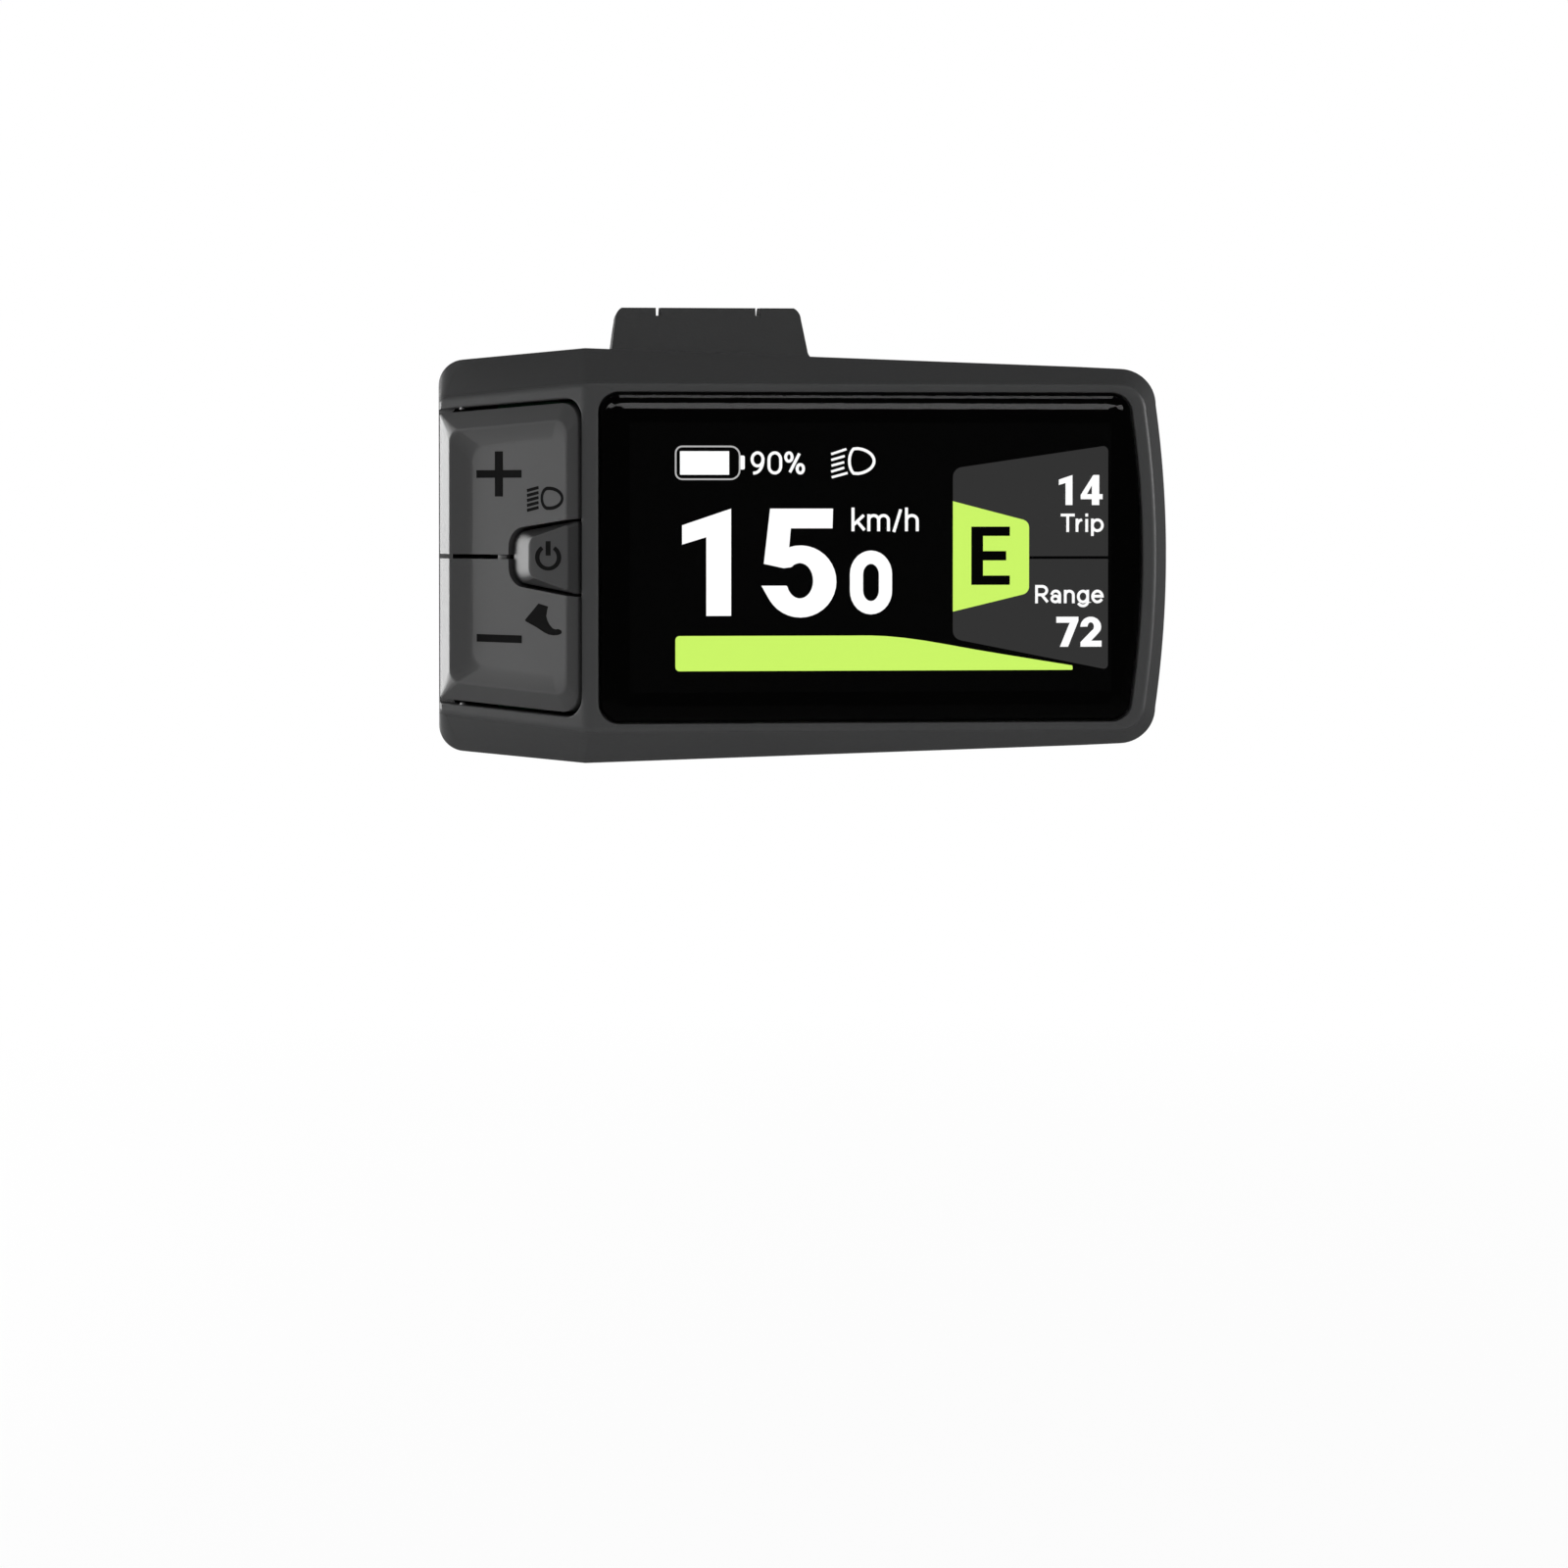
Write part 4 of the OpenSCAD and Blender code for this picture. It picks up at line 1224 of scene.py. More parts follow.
@dataclass(frozen=True)
class Word:
    """A word in thin letters.

    Args:
        letters: its letters, each with its left and right edge.
        low: its base line.
        cap: capital height.
        stroke: stroke width.
    """
    letters: tuple[Placed, ...]
    low: float
    cap: float
    stroke: float


@dataclass(frozen=True)
class Figures:
    """Bold figures, each with its left edge and base line, and their height."""
    placed: tuple[Placed, ...]
    height: float


class Letters:
    """Plain upright letters drawn by strokes, and bold figures drawn by outlines.

    A stroke's points lie on its middle line, in shares of the box that the middle lines fill, where
    1 is the capital height, and its flag says whether it closes. A bold figure's outlines are in
    shares of its height.
    """
    STROKE_SHARES: dict[str, list[Stroke]] = {
        "0": [(arc(0.5, 0.66, 0.5, 0.34, 180, 0, 14) + arc(0.5, 0.34, 0.5, 0.34, 0, -180, 14), True)],
        "9": [(arc(0.5, 0.675, 0.5, 0.325, 0, 345, 22), True),
              (arc(0.2, 0.66, 0.8, 0.66, 2, -88, 14), False)],
        "%": [(arc(0.18, 0.79, 0.18, 0.21, 0, 342, 18), True),
              (arc(0.82, 0.21, 0.18, 0.21, 0, 342, 18), True),
              ([(0.27, 0.10), (0.73, 0.90)], False)],
        "k": [([(0.0, 0.0), (0.0, 1.0)], False), ([(0.10, 0.26), (0.86, 0.66)], False),
              ([(0.38, 0.40), (0.92, 0.04)], False)],
        "m": [([(0.0, 0.0), (0.0, 0.68)], False), (arc(0.25, 0.45, 0.25, 0.24, 180, 0) + [(0.5, 0.0)], False),
              (arc(0.75, 0.45, 0.25, 0.24, 180, 0) + [(1.0, 0.0)], False)],
        "/": [([(0.12, -0.04), (0.88, 0.92)], False)],
        "h": [([(0.0, 0.0), (0.0, 1.0)], False), (arc(0.5, 0.44, 0.5, 0.25, 180, 0) + [(1.0, 0.0)], False)],
        "T": [([(0.0, 1.0), (1.0, 1.0)], False), ([(0.5, 0.0), (0.5, 1.0)], False)],
        "r": [([(0.0, 0.0), (0.0, 0.68)], False), (arc(1.0, 0.26, 1.0, 0.42, 165, 100), False)],
        "i": [([(0.5, 0.0), (0.5, 0.66)], False), ([(0.5, 0.99), (0.5, 1.01)], False)],
        "p": [([(0.0, -0.26), (0.0, 0.68)], False), (arc(0.5, 0.34, 0.5, 0.35, 0, 342, 20), True)],
        "R": [([(0.0, 0.0), (0.0, 1.0)], False),
              ([(0.0, 1.0), (0.45, 1.0)] + arc(0.5, 0.73, 0.42, 0.27, 90, -90) + [(0.0, 0.46)], False),
              ([(0.50, 0.42), (0.92, 0.06)], False)],
        "a": [(arc(0.44, 0.19, 0.44, 0.19, 0, 342, 18), True),
              (arc(0.5, 0.45, 0.5, 0.25, 160, 0) + [(1.0, 0.0)], False)],
        "n": [([(0.0, 0.0), (0.0, 0.68)], False), (arc(0.5, 0.44, 0.5, 0.25, 180, 0) + [(1.0, 0.0)], False)],
        "g": [(arc(0.5, 0.34, 0.5, 0.35, 0, 342, 20), True),
              ([(1.0, 0.68), (1.0, 0.0)] + arc(0.5, 0.0, 0.5, 0.26, 0, -145), False)],
        "e": [([(0.06, 0.36), (1.0, 0.36)] + arc(0.5, 0.34, 0.5, 0.35, 8, 318, 20), False)],
    }
    BOLD_SHARES: dict[str, list[list[Point]]] = {
        "1": [[(0.0, 0.845), (0.457, 1.0), (0.457, 0.0), (0.225, 0.0), (0.225, 0.734), (0.0, 0.665)]],
        "2": [arc(0.345, 0.665, 0.35, 0.335, 180, -22, 20)
              + [(0.59, 0.44), (0.36, 0.20), (0.71, 0.20), (0.71, 0.0)]
              + [(0.0, 0.0), (0.0, 0.155), (0.37, 0.53)]
              + arc(0.345, 0.67, 0.105, 0.145, -35, 180, 12)],
        "4": [[(0.375, 0.0), (0.625, 0.0), (0.625, 1.0), (0.43, 1.0), (0.375, 0.90)],
              [(0.0, 0.194), (0.738, 0.194), (0.738, 0.363), (0.02, 0.363)],
              [(0.0, 0.20), (0.215, 0.37), (0.40, 0.70), (0.42, 1.0), (0.0, 0.335)]],
        "5": [[(0.082, 1.0), (0.671, 1.0), (0.666, 0.816), (0.276, 0.816), (0.259, 0.628)]
              + arc(0.366, 0.320, 0.337, 0.337, 108, -150, 26) + [(0.0, 0.281), (0.235, 0.281)]
              + arc(0.360, 0.327, 0.124, 0.165, 200, 490, 22) + [(0.209, 0.444), (0.023, 0.485)]],
        "7": [[(0.0, 1.0), (0.741, 1.0), (0.741, 0.86), (0.395, 0.0), (0.12, 0.0), (0.45, 0.8), (0.0, 0.8)]],
    }

    def write(self, solid: Solid, word: Word, front: float, rear: float) -> None:
        """Draws a word by strokes.

        Args:
            solid: the mesh that the strokes go into.
            word: the word.
            front, rear: faces of the strokes along y.
        """
        stroke = word.stroke
        for letter, left, right in word.letters:
            for path, closed in self.STROKE_SHARES[letter]:
                spots = [(left + stroke / 2 + px * max(right - left - stroke, 0.0),
                          word.low + stroke / 2 + pz * (word.cap - stroke)) for px, pz in path]
                solid.ribbon(self.lengthened(spots, stroke / 2, closed), stroke, front, rear, closed)

    def bold(self, solid: Solid, figures: Figures, front: float, rear: float) -> None:
        """Draws bold figures.

        Args:
            solid: the mesh that the figures go into.
            figures: the figures.
            front, rear: faces of the figures along y.
        """
        height = figures.height
        for figure, left, low in figures.placed:
            for outline in self.BOLD_SHARES[figure]:
                solid.prism([(left + px * height, low + pz * height) for px, pz in outline], front, rear)

    @staticmethod
    def lengthened(path: list[Point], by: float, closed: bool) -> list[Point]:
        """An open path with square ends that reach past its last points.

        Args:
            path: the path.
            by: how far each end reaches.
            closed: whether the path closes, and so has no ends.

        Returns:
            The path's points.
        """
        if closed:
            return path
        first = Vector(path[0]) + (Vector(path[0]) - Vector(path[1])).normalized() * by
        last = Vector(path[-1]) + (Vector(path[-1]) - Vector(path[-2])).normalized() * by
        return [tuple(first), *path[1:-1], tuple(last)]


@dataclass
class Readout:
    """What the display shows: charge, lamp, speed, power bar, ride mode and two small figures.

    A box of four sizes is its left, low, right and high edges.
    """
    screen: Screen = field(default_factory=Screen)
    letters: Letters = field(default_factory=Letters)
    line: float = 0.2
    battery: tuple[float, float, float, float] = (10.68, 9.52, 18.46, 13.5)
    charge: tuple[float, float, float, float] = (11.2, 10.06, 17.18, 12.93)
    bar: tuple[float, float, float] = (10.63, -13.82, -9.53)
    bar_top: tuple[Point, ...] = ((34.5, -9.53), (36.5, -9.62), (38.5, -9.82), (41.0, -10.16), (44.0, -10.68),
                                  (47.2, -11.27), (51.2, -11.95), (55.3, -12.62))
    bar_tip: Point = (59.32, -13.28)
    bar_tip_run: float = 0.05
    bar_corners: tuple[float, float, float] = (0.5, 0.15, 0.1)
    panel_left: float = 44.56
    panel_right: float = 63.72
    rays: tuple[tuple[Point, Point], ...] = (
        ((29.63, 12.58), (31.49, 13.2)), ((29.63, 11.87), (31.28, 12.35)), ((29.67, 11.18), (31.22, 11.6)),
        ((29.63, 10.45), (31.22, 10.93)), ((29.69, 9.76), (31.63, 10.29)))
    lens: tuple[Point, ...] = tuple(arc(32.45, 11.74, 2.43, 1.56, 78, -78, 18)
                                    + arc(32.9, 11.74, 1.05, 1.72, 240, 120, 10))
    ray_w: float = 0.29
    lens_w: float = 0.35
    nub_z: Point = (10.7, 12.4)
    nub_w: float = 0.52
    nub_corners: Point = (0.05, 0.2)
    case_corners: Point = (0.8, 1.1)
    panel_upper: tuple[float, float, float] = (0.12, 10.85, 13.69)
    panel_lower: tuple[float, float, float] = (-0.22, -9.95, -13.81)
    panel_corner: float = 1.2
    panel_edge: float = 0.05
    panel_upper_corner: float = 0.6
    panel_lower_corner: float = 0.5
    tab_corner: float = 1.0
    tab_right: float = 53.95
    tab_z: tuple[Point, Point] = ((-6.65, -4.38), (6.85, 4.4))
    mode_box: tuple[float, float, float, float] = (46.83, -3.38, 51.58, 3.74)
    mode_bar: float = 1.14
    mode_stem: float = 1.45
    mode_lap: float = 0.05
    mode_short: float = 0.45
    speed: Figures = Figures((("1", 11.45, -7.1), ("5", 21.1, -7.1)), 13.05)
    counts: Figures = Figures(
        (("1", 57.62, 6.38), ("4", 60.32, 6.38), ("7", 57.33, -10.99), ("2", 60.32, -10.99)), 3.68)
    charge_word: Word = Word(
        (("9", 19.79, 21.48), ("0", 21.85, 23.64), ("%", 23.89, 26.43)), 10.1, 2.82, 0.36)
    tenth_word: Word = Word((("0", 31.92, 37.09),), -6.95, 7.78, 1.62)
    unit_word: Word = Word(
        (("k", 32.11, 33.88), ("m", 34.05, 36.83), ("/", 37.05, 38.4), ("h", 38.67, 40.37)),
        3.19, 2.88, 0.37)
    trip_word: Word = Word(
        (("T", 57.86, 59.59), ("r", 59.70, 60.6), ("i", 60.87, 61.27), ("p", 61.6, 63.18)),
        3.08, 2.24, 0.34)
    range_word: Word = Word(
        (("R", 54.71, 56.42), ("a", 56.6, 57.92), ("n", 58.26, 59.6), ("g", 59.87, 61.37),
         ("e", 61.64, 63.18)), -5.65, 2.24, 0.34)

    def white(self, solid: Solid, front: float, rear: float) -> None:
        """Charge, lamp symbol, speed and its unit.

        Args:
            solid: the mesh that the region goes into.
            front, rear: faces of the region along y.
        """
        low_x, low_z, high_x, high_z = self.charge
        solid.prism([(low_x, low_z), (high_x, low_z), (high_x, high_z), (low_x, high_z)], front, rear)
        nub = self.battery[2] + self.line / 2
        tip = nub + self.nub_w
        foot, top = self.nub_z
        sharp, soft = self.nub_corners
        outline = [(nub, foot, sharp), (tip, foot, soft), (tip, top, soft), (nub, top, sharp)]
        solid.prism(rounded(outline), front, rear)
        self.letters.write(solid, self.charge_word, front, rear)
        for ray in self.rays:
            solid.ribbon(ray, self.ray_w, front, rear)
        solid.ribbon(self.lens, self.lens_w, front, rear, closed=True)
        self.letters.bold(solid, self.speed, front, rear)
        self.letters.write(solid, self.tenth_word, front, rear)
        self.letters.write(solid, self.unit_word, front, rear)

    def case(self, solid: Solid, front: float, rear: float) -> None:
        """Outline of the charge symbol.

        Args:
            solid: the mesh that the region goes into.
            front, rear: faces of the region along y.
        """
        low_x, low_z, high_x, high_z = self.battery
        left, right = self.case_corners
        box = [(low_x, low_z, left), (high_x, low_z, right), (high_x, high_z, right), (low_x, high_z, left)]
        solid.ribbon(rounded(box), self.line, front, rear, closed=True)

    def grey(self, solid: Solid, front: float, rear: float) -> None:
        """The two halves of the panel at the right.

        Args:
            solid: the mesh that the region goes into.
            front, rear: faces of the region along y.
        """
        left, right = self.panel_left, self.panel_right
        foot, inner, outer = self.panel_upper
        edge, corner = self.panel_edge, self.panel_corner
        upper = [(left, foot, 0), (right, foot, edge), (right, outer, self.panel_upper_corner),
                 (left, inner, corner)]
        solid.prism(rounded(upper), front, rear)
        top, inner, outer = self.panel_lower
        lower = [(left, inner, corner), (right, outer, self.panel_lower_corner), (right, top, edge),
                 (left, top, 0)]
        solid.prism(rounded(lower), front, rear)

    def green(self, solid: Solid, front: float, rear: float) -> None:
        """The power bar and the tab that names the ride mode.

        Args:
            solid: the mesh that the region goes into.
            front, rear: faces of the region along y.
        """
        left, low, high = self.bar
        tip_x, tip_z = self.bar_tip
        blunt, foot, tip = self.bar_corners
        outline = rounded([(left, low, blunt), (tip_x + self.bar_tip_run, low, foot), (tip_x, tip_z, tip)]
                          + [(x, z, 0) for x, z in reversed(self.bar_top)] + [(left, high, blunt)])
        solid.prism(outline, front, rear)
        (low_left, low_right), (high_left, high_right) = self.tab_z
        left, right = self.panel_left, self.tab_right
        corner = self.tab_corner
        tab = [(left, low_left, 0), (right, low_right, corner), (right, high_right, corner),
               (left, high_left, 0)]
        solid.prism(rounded(tab), front, rear)

    def mode(self, solid: Solid, front: float, rear: float) -> None:
        """The black E on the tab.

        Args:
            solid: the mesh that the region goes into.
            front, rear: faces of the region along y.
        """
        left, low, right, high = self.mode_box
        bar = self.mode_bar
        stem = left + self.mode_stem
        start = stem - self.mode_lap
        solid.prism([(left, low), (stem, low), (stem, high), (left, high)], front, rear)
        middle = (low + high - bar) / 2
        for level, end in ((low, right), (middle, right - self.mode_short), (high - bar, right)):
            solid.prism([(start, level), (end, level), (end, level + bar), (start, level + bar)], front, rear)

    def figures(self, solid: Solid, front: float, rear: float) -> None:
        """Trip and range with their figures.

        Args:
            solid: the mesh that the region goes into.
            front, rear: faces of the region along y.
        """
        self.letters.bold(solid, self.counts, front, rear)
        self.letters.write(solid, self.trip_word, front, rear)
        self.letters.write(solid, self.range_word, front, rear)

    def build(self) -> list[bpy.types.Object]:
        """Builds every lit region.

        Returns:
            The regions.
        """
        parts = (("image_panel", PANEL_LIGHT, 0, self.grey), ("image_bars", GREEN_LIGHT, 1, self.green),
                 ("image_case", CASE_LIGHT, 1, self.case), ("image_speed", WHITE_LIGHT, 1, self.white),
                 ("image_figures", WHITE_LIGHT, 1, self.figures),
                 ("image_mode", DARK_IMAGE, 2, self.mode))
        return [self.screen.image_part(*part) for part in parts]


@dataclass
class KeyPad:
    """Plus, minus and power keys with their printed marks.

    A ring of power_rim is its growth and its depth from the key's top. A ring of power_foot is its
    growth, its left and right insets, the growth of its corners and its depth.
    """
    lay: Layout = LAYOUT
    rise: float = 1.0
    play: float = 0.06
    chamfer: float = 2.1
    chamfer_left: float = 2.4
    chamfer_right: float = 0.8
    crest: float = 0.25
    crest_corner: float = 1.6
    dish_depth: float = 0.85
    dish_run: float = 2.2
    dish_left: float = 2.9
    dish_right: float = 0.15
    dish_corner: float = 2.2
    power_len: float = 10.6
    power_h: float = 9.0
    power_left_h: float = 5.9
    power_corner: float = 2.1
    power_run: float = 3.1
    power_rise: float = 0.9
    power_side: float = 0.5
    power_left_side: float = 0.7
    power_top_corner: float = 1.2
    power_rim: tuple[Point, ...] = ((-0.12, -0.012), (-0.02, 0.0), (0.14, 0.035))
    power_foot: tuple[tuple[float, float, float, float, float], ...] = (
        (-0.04, 0.1, 0.06, -0.05, -0.04), (-0.01, 0.02, 0.01, 0.0, 0.02))
    power_rim_share: float = 0.6
    power_edge: float = 0.12
    slope_steps: int = 10
    ease_slope: float = 1.12
    ease_end: float = 0.8
    crest_round: Point = (0.07, 0.08)
    crest_round_right: float = 0.06
    crest_drop: float = 0.04
    foot_edge: float = 0.12
    foot_edge_shares: Point = (0.6, 0.4)
    foot_line: float = 0.03
    foot_corners: tuple[float, float, float] = (0.3, 0.36, 0.4)
    step_y: float = 0.1
    over: float = 1.0
    smooth: float = 38.0
    fine_edge: float = 0.00004
    mark_from: float = -3.0
    ink: float = 0.012
    pin_s: float = 20.35
    pin_w: float = 0.36
    pin_share: float = 0.55
    pin_root: float = 0.2
    pin_y: Point = (0.12, 0.8)
    tongue_s: Point = (14.0, 12.55)
    tongue_sides: Point = (0.1, 0.04)
    tongue_drop: float = 0.16
    tongue_t: float = 0.7

    def pad(self, insets: tuple[float, float, float], corner: float, m: float,
            left_corner: float | None = None) -> list[Point3]:
        """Ring of the whole pad.

        Args:
            insets: how far it is set in from the long sides, the left end and the right end.
            corner: its corner radius.
            m: its depth.
            left_corner: corner radius at the left end, if it differs.

        Returns:
            The upper half of the ring.
        """
        lay = self.lay
        side, left, right = insets
        end = lay.facet_len - lay.key_end_reveal
        near = lay.key_open_right + lay.key_gap
        side += lay.key_gap + self.play
        return flat(HalfOutline(-end + left, lay.key_h(end) - side,
                                corner if left_corner is None else left_corner,
                                -near - right - self.play / 2, lay.key_h(near) - side, corner
                                ).points(10), m)

    def floor_m(self, x: float) -> float:
        """Depth of the dish's floor, which rises from its left end to the crest at the right.

        Args:
            x: place along the facet.

        Returns:
            The depth.
        """
        lay = self.lay
        left = -lay.facet_len + lay.key_end_reveal + self.chamfer_left + self.crest + self.dish_left
        right = -lay.key_open_right - lay.key_gap - self.chamfer_right - self.crest - self.dish_right
        return mix(-self.rise, self.dish_depth - self.rise, (x - right) / (left - right))

    def pad_rings(self) -> list[list[Point3]]:
        """Rings from the dish's floor over the crest to the base.

        Returns:
            The upper half of each ring.
        """
        lay, high = self.lay, -self.rise
        rings = []
        for k in range(self.slope_steps + 1):
            share = 1 - k / self.slope_steps
            insets = (self.chamfer + self.crest + self.dish_run * share,
                      self.chamfer_left + self.crest + self.dish_left * share,
                      self.chamfer_right + self.crest + self.dish_right * share)
            ease = self.ease(share)
            ring = self.pad(insets, mix(self.crest_corner, self.dish_corner, share), high)
            rings.append([(x, mix(high, self.floor_m(x), ease), z) for x, _, z in ring])
        inside, outside = self.crest_round
        rings.append(self.pad((self.chamfer + inside, self.chamfer_left + inside,
                               self.chamfer_right + inside), self.crest_corner, high))
        rings.append(self.pad((self.chamfer - outside, self.chamfer_left - outside,
                               self.chamfer_right - self.crest_round_right),
                              self.crest_corner + self.crest_drop, high + self.crest_drop))
        edge, line = self.foot_edge, self.foot_line
        right_share, rise_share = self.foot_edge_shares
        top_corner, line_corner, corner = self.foot_corners
        rings.append(self.pad((edge, edge, edge * right_share), lay.key_corner - edge, -edge * rise_share,
                              top_corner))
        rings.append(self.pad((line, line, line), lay.key_corner - line, line, line_corner))
        rings.append(self.pad((0, 0, 0), lay.key_corner, edge, corner))
        rings.append(self.pad((0, 0, 0), lay.key_corner, lay.key_base, corner))
        return rings

    def ease(self, share: float) -> float:
        """Profile of the dish's slope: straight from a crisp crest, and then rounded into the floor.

        Args:
            share: how far down the slope, from 0 at the crest to 1 at the floor.

        Returns:
            The share of the dish's depth.
        """
        if share < self.ease_end:
            return self.ease_slope * share
        left = 1 - self.ease_slope * self.ease_end
        return 1 - left * ((1 - share) / (1 - self.ease_end)) ** 2

    def power_half(self, off: float, left: float, right: float, corner: float, y: float) -> list[Point3]:
        """Ring of the power key, or of its opening, grown by off.

        Args:
            off: how far the ring is grown.
            left: how far its left end is set in.
            right: distance of its right end from the end of the key opening.
            corner: its corner radius.
            y: its depth.

        Returns:
            The upper half of the ring.
        """
        lay = self.lay
        return flat(HalfOutline(-lay.key_open_right - self.power_len - off + left,
                                self.power_left_h / 2 + off, corner,
                                -lay.key_open_right - right, self.power_h / 2 + off,
                                lay.key_inner_corner / 2).points(8), y)

    def power_top(self, off: float, y: float) -> list[Point3]:
        """Ring of the power key's top face, grown by off.

        Args:
            off: how far the ring is grown at its left end.
            y: its depth.

        Returns:
            The upper half of the ring.
        """
        lay, side = self.lay, self.power_rim_share
        return flat(HalfOutline(-lay.key_open_right - self.power_len + self.power_run - off,
                                self.power_left_h / 2 - self.power_left_side + off * side,
                                self.power_top_corner + off,
                                -lay.key_open_right - lay.key_gap - self.chamfer_right + off * side,
                                self.power_h / 2 - self.power_side + off * side,
                                lay.key_inner_corner / 2).points(8), y)

    def rocker(self, name: str, up: bool) -> bpy.types.Object:
        """The upper or the lower half of the pad.

        Args:
            name: the key's name.
            up: whether it is the upper half.

        Returns:
            The key.
        """
        lay = self.lay
        place = lay.facet()
        made = Solid(name, place).mirrored_loft(self.pad_rings()).finish()
        left = lay.facet_len - lay.key_end_rim - lay.key_gap
        over, half = self.over, lay.glass_h
        far, top, base = lay.facet_len + over, -self.rise - over, lay.key_base + over
        under = [(-far, -half), (-left, -half), (-left, half), (-far, half)]
        corner = self.power_corner + lay.key_gap
        notch = Solid("notch", place).mirrored_loft(
            [self.power_half(lay.key_gap, 0, -over, corner, y) for y in (top, base)]).finish()
        cut(made, Solid("step", place).prism(under, self.step_y, base).finish(), notch)
        near = (lay.key_gap / 2 + self.play) * (1 if up else -1)
        edge = half if up else -half
        keep = [(-far, near), (over, near), (over, edge), (-far, edge)]
        cut(made, Solid("half", place).prism(keep, top, base).finish(), keep=True)
        return made

    def power(self) -> bpy.types.Object:
        """The power key with sloping walls.

        Returns:
            The key.
        """
        lay = self.lay
        gap = lay.key_gap
        rings = [self.power_top(off, drop - self.power_rise) for off, drop in self.power_rim]
        for off, left, right, corner, y in self.power_foot:
            rings.append(self.power_half(off, left, gap + right, self.power_corner + corner, y))
        for y in (self.power_edge, lay.key_base):
            rings.append(self.power_half(0, 0, gap, self.power_corner, y))
        return Solid("power_key_cap", lay.facet()).mirrored_loft(rings).finish()

    def pin(self, up: bool) -> bpy.types.Object:
        """A pale guide pin in the gap beside the keys, on the wall of the opening.

        Args:
            up: whether it is the upper one.

        Returns:
            The pin.
        """
        lay = self.lay
        wall = lay.key_h(self.pin_s)
        near, far = wall - lay.key_gap * self.pin_share, wall + self.pin_root
        left, right = -self.pin_s - self.pin_w / 2, -self.pin_s + self.pin_w / 2
        outline = [(left, near), (right, near), (right, far), (left, far)]
        if not up:
            outline = [(x, -z) for x, z in reversed(outline)]
        made = Solid("pin_up" if up else "pin_down", lay.facet()).prism(outline, *self.pin_y).finish()
        soften(made, self.fine_edge)
        return Piece(Body.HOUSING, Slot.SHELL, PIN_NYLON).dress(made)

    def tongue(self) -> bpy.types.Object:
        """A low tongue of the minus key that closes the inner end of the gap between the keys.

        Returns:
            The tongue.
        """
        lay = self.lay
        far, near = self.tongue_s
        level = self.floor_m(-(far + near) / 2) + self.tongue_drop
        side = lay.key_gap / 2 + self.play
        sunk, free = self.tongue_sides
        low, high = -side - sunk, side - free
        outline = [(-far, low), (-near, low), (-near, high), (-far, high)]
        made = Solid("minus_tongue", lay.facet()).prism(outline, level, level + self.tongue_t).finish()
        soften(made, self.fine_edge)
        return Piece(Body.MINUS, Slot.KEY).dress(made)

    def mark(self, name: str, key: bpy.types.Object, body: Body, slot: Slot,
             draw: Callable[[Solid], None]) -> bpy.types.Object:
        """A printed mark laid on a key.

        Args:
            name: the mark's name.
            key: the key that carries it.
            body: the body that it rides on.
            slot: the key's slot.
            draw: draws the mark between depths -1 (front) and 0 (rear) of the facet's frame.

        Returns:
            The mark.
        """
        place = self.lay.facet()
        solid = Solid(name, place)
        draw(solid)
        base = bmesh.new()
        base.from_mesh(key.data)
        tree = BVHTree.FromBMesh(base)
        inwards = (place.to_3x3() @ Vector((0, 1, 0))).normalized()
        back = place.inverted()
        for vert in solid.mesh.verts:
            local = back @ vert.co
            start = place @ Vector((local.x, self.mark_from, local.z))
            hit = tree.ray_cast(start, inwards)[0]
            depth = (back @ hit).y if hit is not None else local.y
            rear = local.y > -0.5
            vert.co = place @ Vector((local.x, depth + (self.ink if rear else -self.ink), local.z))
        base.free()
        made = solid.finish(merge=0)
        return Piece(body, slot, MARK_INK).dress(made)

    @staticmethod
    def dense(path: Sequence[Point], step: float = 0.35) -> list[Point]:
        """A path with points close enough to follow a curved key.

        Args:
            path: the path.
            step: greatest distance between its points.

        Returns:
            The path's points.
        """
        spots: list[Point] = [path[0]]
        for first, second in zip(path, path[1:]):
            count = max(1, math.ceil(math.dist(first, second) / step))
            spots += [tuple(mix(a, b, k / count) for a, b in zip(first, second)) for k in range(1, count + 1)]
        return spots

    def build(self) -> list[bpy.types.Object]:
        """Builds the keys and their marks.

        Returns:
            The keys, marks, pins and the tongue.
        """
        plus = self.rocker("plus_key_cap", True)
        minus = self.rocker("minus_key_cap", False)
        power = self.power()
        marks = Marks(self)
        for key, body, slot, node in ((plus, Body.PLUS, Slot.KEY, "plus_key"),
                                      (minus, Body.MINUS, Slot.KEY, "minus_key"),
                                      (power, Body.POWER, Slot.POWER_KEY, "power_key")):
            Piece(body, slot, nodes=(node,)).dress(key)
        made = [self.mark("plus_mark", plus, Body.PLUS, Slot.KEY, marks.plus),
                self.mark("lamp_mark", plus, Body.PLUS, Slot.KEY, marks.lamp),
                self.mark("minus_mark", minus, Body.MINUS, Slot.KEY, marks.minus),
                self.mark("walk_mark", minus, Body.MINUS, Slot.KEY, marks.foot),
                self.mark("power_mark", power, Body.POWER, Slot.POWER_KEY, marks.power)]
        for key in (plus, minus, power):
            soften(key, angle=self.smooth)
        made += [self.pin(True), self.pin(False), self.tongue()]
        return made + [plus, minus, power]


